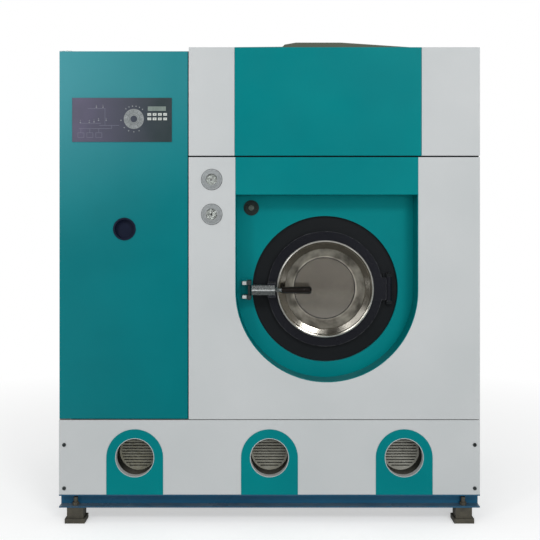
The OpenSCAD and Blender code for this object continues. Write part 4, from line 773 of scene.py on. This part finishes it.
# ------------------------------------------------------ air duct, fan housing
# Folded galvanised sheet, with the large soft spangle of hot dip zinc.
# Each grain of the zinc has its own grey and its own shine.
galvanised, tree, shader, place = begin("hot_dip_galvanised_sheet", {"Metallic": 0.9})
flakes = add(tree, "TexVoronoi", {"Vector": place, "Scale": 1000 / 14}).outputs["Color"]
grey = add(tree, "SeparateColor", {0: flakes}).outputs[0]
zinc_grey = add(tree, "Mix", {0: grey, 6: "#a5aaa9", 7: "#bcc0bf"}, data_type="RGBA").outputs[2]
dull = add(tree, "MapRange", {0: grey, 3: 0.35, 4: 0.55}).outputs[0]
surface(tree, shader, zinc_grey, drift(tree, place, 3, 0.0, 1.0), 0.02, dull)
finish(galvanised, "air_duct", "fan_housing", "fan_wheel")

# ------------------------------------------------------------ electrical plate
# Galvanised mounting plate with switchgear: each block is a moulded body. The
# blocks keep the colour that their kind has, so that they read apart.
plate_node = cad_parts["electrical_plate"]
gear = [galvanised, moulded("grey_thermoplastic", "#b9bcb8", "#a9aca8", 0.45, 1.5, 0.02),
        moulded("dark_thermoplastic", "#34383b", "#3f4346", 0.42, 1.5, 0.02),
        moulded("pvc_trunking", "#8f9699", "#858b8e", 0.55, 2.0, 0.02),
        moulded("beige_terminals", "#b5ae98", "#a69f89", 0.5, 1.0, 0.02)]
plate_node.data.materials.clear()
for material in gear:
    plate_node.data.materials.append(material)
plate_face, plate_x0, plate_x1 = -396, -742, -338
# the rows from the top: the height that each lies above, where it changes from one kind of
# gear to another, and the numbers of the two kinds
rows = ((1590, -540, 2, 1), (1400, 0, 2, 2), (1240, 0, 1, 1), (1100, 0, 3, 3), (0, -590, 2, 4))
for face in plate_node.data.polygons:
    x, y, z = [1000 * v for v in face.center]
    change_x, left, right = next(row[1:] for row in rows if z > row[0])
    on_gear = y <= plate_face and plate_x0 <= x <= plate_x1
    face.material_index = (left if x < change_x else right) if on_gear else 0

# -------------------------------------------------------- service connections
# Turned brass unions through the rear panel, dull from flux and fingers. The
# exhaust spigot is galvanised and the cable gland is black nylon.
material, tree, shader, place = begin("turned_brass", {"Metallic": 1.0})
dulled = patches(tree, place, 18, "#b08f4e", "#8f7746", 1.0, 5.0)
# turning marks of 0.2 mm, drawn at 0.8 mm so that they show
surface(tree, shader, dulled, drift(tree, place, 0.8, 0.0, 1.0), 0.01, drift(tree, place, 12, 0.25, 0.45))
finish(material, "service_connections")
fold(0.8, "service_connections")
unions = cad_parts["service_connections"].data
unions.materials.append(galvanised)
unions.materials.append(bezel_plastic)
# the spigot lies high, and the gland is the last of the low row towards the middle
spigot_above, gland_past = 1000, -480
for face in unions.polygons:
    x, y, z = [1000 * v for v in face.center]
    face.material_index = 1 if z > spigot_above else 2 if x > gland_past else 0

# ----------------------------------------------------- floor, light and camera
# Plain pale floor that turns white away from the machine, in white surroundings. Two
# softboxes stand above the front, a wide fill before it and a card at its left.
scene = bpy.context.scene
scene.view_settings.view_transform = "Standard"


def shown_to(tree):
    """1 for what the camera sees, also in a mirror or through glass, and 0 for what lights the object."""
    seen = add(tree, "LightPath", {}).outputs
    direct = add(tree, "Math", {0: seen["Is Camera Ray"], 1: seen["Is Glossy Ray"]}, operation="MAXIMUM")
    every = add(tree, "Math", {0: direct.outputs[0], 1: seen["Is Transmission Ray"]}, operation="MAXIMUM")
    return every.outputs[0]


material = bpy.data.materials.new("pale_floor")
material.use_nodes = True
tree = material.node_tree
tree.nodes.clear()
shown = shown_to(tree)
place = add(tree, "TexCoord", {}).outputs["Object"]
reach = add(tree, "VectorMath", {0: place}, operation="LENGTH").outputs["Value"]
far = add(tree, "MapRange", {0: reach, 1: 1.0, 2: 3.2}).outputs[0]
lift = add(tree, "MapRange", {0: far, 3: 0.48, 4: 1.0}).outputs[0]
fade = add(tree, "Math", {0: far, 1: shown}, operation="MULTIPLY").outputs[0]
tone = add(tree, "Mix", {0: fade, 6: "#e4e5e5", 7: "#000000"}, data_type="RGBA").outputs[2]
ground = add(tree, "BsdfDiffuse", {"Color": tone})
strength = add(tree, "Math", {0: lift, 1: shown}, operation="MULTIPLY").outputs[0]
glow = add(tree, "Emission", {"Color": (1, 1, 1, 1), "Strength": strength})
both = add(tree, "AddShader", {0: ground.outputs[0], 1: glow.outputs[0]})
add(tree, "OutputMaterial", {"Surface": both.outputs[0]})
sheet = bmesh.new()
bmesh.ops.create_grid(sheet, x_segments=1, y_segments=1, size=14)
mesh = bpy.data.meshes.new("floor")
sheet.to_mesh(mesh)
sheet.free()
mesh.materials.append(material)
floor = bpy.data.objects.new("floor", mesh)
scene.collection.objects.link(floor)

world = bpy.data.worlds.new("pale_surroundings")
scene.world = world
world.use_nodes = True
tree = world.node_tree
tree.nodes.clear()
strength = add(tree, "MapRange", {0: shown_to(tree), 3: 0.42, 4: 1.0}).outputs[0]
surround = add(tree, "Background", {"Color": (1, 1, 1, 1), "Strength": strength})
add(tree, "OutputWorld", {"Surface": surround.outputs[0]})


def softbox(name, place, target, wide, high, watts):
    """A rectangular soft light that looks at a point."""
    light = bpy.data.lights.new(name, "AREA")
    light.shape = "RECTANGLE"
    light.size, light.size_y, light.energy = wide, high, watts
    lamp = bpy.data.objects.new(name, light)
    lamp.location = place
    lamp.rotation_euler = (Vector(target) - Vector(place)).to_track_quat("-Z", "Y").to_euler()
    scene.collection.objects.link(lamp)
    return lamp


softbox("right_softbox", (2.3, -6.4, 4.2), (0, -0.5, 1.0), 1.6, 1.1, 92)
softbox("left_softbox", (-1.9, -6.4, 4.2), (0, -0.5, 1.0), 1.6, 1.1, 24)
softbox("front_fill", (1.2, -6.8, 1.3), (0, -0.5, 1.0), 3.0, 2.0, 118).visible_glossy = False
softbox("left_card", (-2.2, -4.2, 2.7), (-0.8, -0.5, 1.7), 0.5, 1.6, 26)

# Dark studio cloths round the machine, with openings between them. Only reflections show
# them, so that paint stays deep and the polished ring mirrors light in patches.
cloths = bmesh.new()
for corners in ([(-1.1, -8.2, 0), (2.2, -8.2, 0), (2.2, -8.2, 3.1), (-1.1, -8.2, 3.1)],
                [(-3, -8.2, 0), (-1.1, -8.2, 0), (-1.1, -8.2, 2.0), (-3, -8.2, 2.0)],
                [(-1.1, -8.2, 3.1), (1.6, -8.2, 3.1), (1.6, -8.2, 5.8), (-1.1, -8.2, 5.8)],
                [(3, 0.5, 0), (3, -8.2, 0), (3, -8.2, 3.8), (3, 0.5, 3.8)],
                [(-3, 0.5, 0), (-3, -8.2, 0), (-3, -8.2, 2.3), (-3, 0.5, 2.3)],
                [(-2.4, 0.5, 3.4), (2.4, 0.5, 3.4), (2.4, -4.7, 3.4), (-2.4, -4.7, 3.4)],
                [(-2.4, -0.9, 0.02), (2.4, -0.9, 0.02), (2.4, -5.5, 0.02), (-2.4, -5.5, 0.02)]):
    cloths.faces.new([cloths.verts.new(corner) for corner in corners])
mesh = bpy.data.meshes.new("dark_cloths")
cloths.to_mesh(mesh)
cloths.free()
material = bpy.data.materials.new("dark_cloth")
material.use_nodes = True
material.node_tree.nodes["Principled BSDF"].inputs["Base Color"].default_value = linear("#64615b")
material.node_tree.nodes["Principled BSDF"].inputs["Roughness"].default_value = 1.0
mesh.materials.append(material)
cloths = bpy.data.objects.new("dark_cloths", mesh)
cloths.visible_camera = False
cloths.visible_diffuse = False
cloths.visible_transmission = False
cloths.visible_shadow = False
scene.collection.objects.link(cloths)

camera = bpy.data.cameras.new("front_view")
camera.sensor_fit = "HORIZONTAL"
camera.sensor_width = 36
camera.lens = 61.4
camera.shift_x = 0.001
camera.shift_y = -0.091
viewer = bpy.data.objects.new("front_view", camera)
viewer.location = (0, -4.073, 1.15)
viewer.rotation_euler = (math.pi / 2, 0, 0)
scene.collection.objects.link(viewer)
scene.camera = viewer
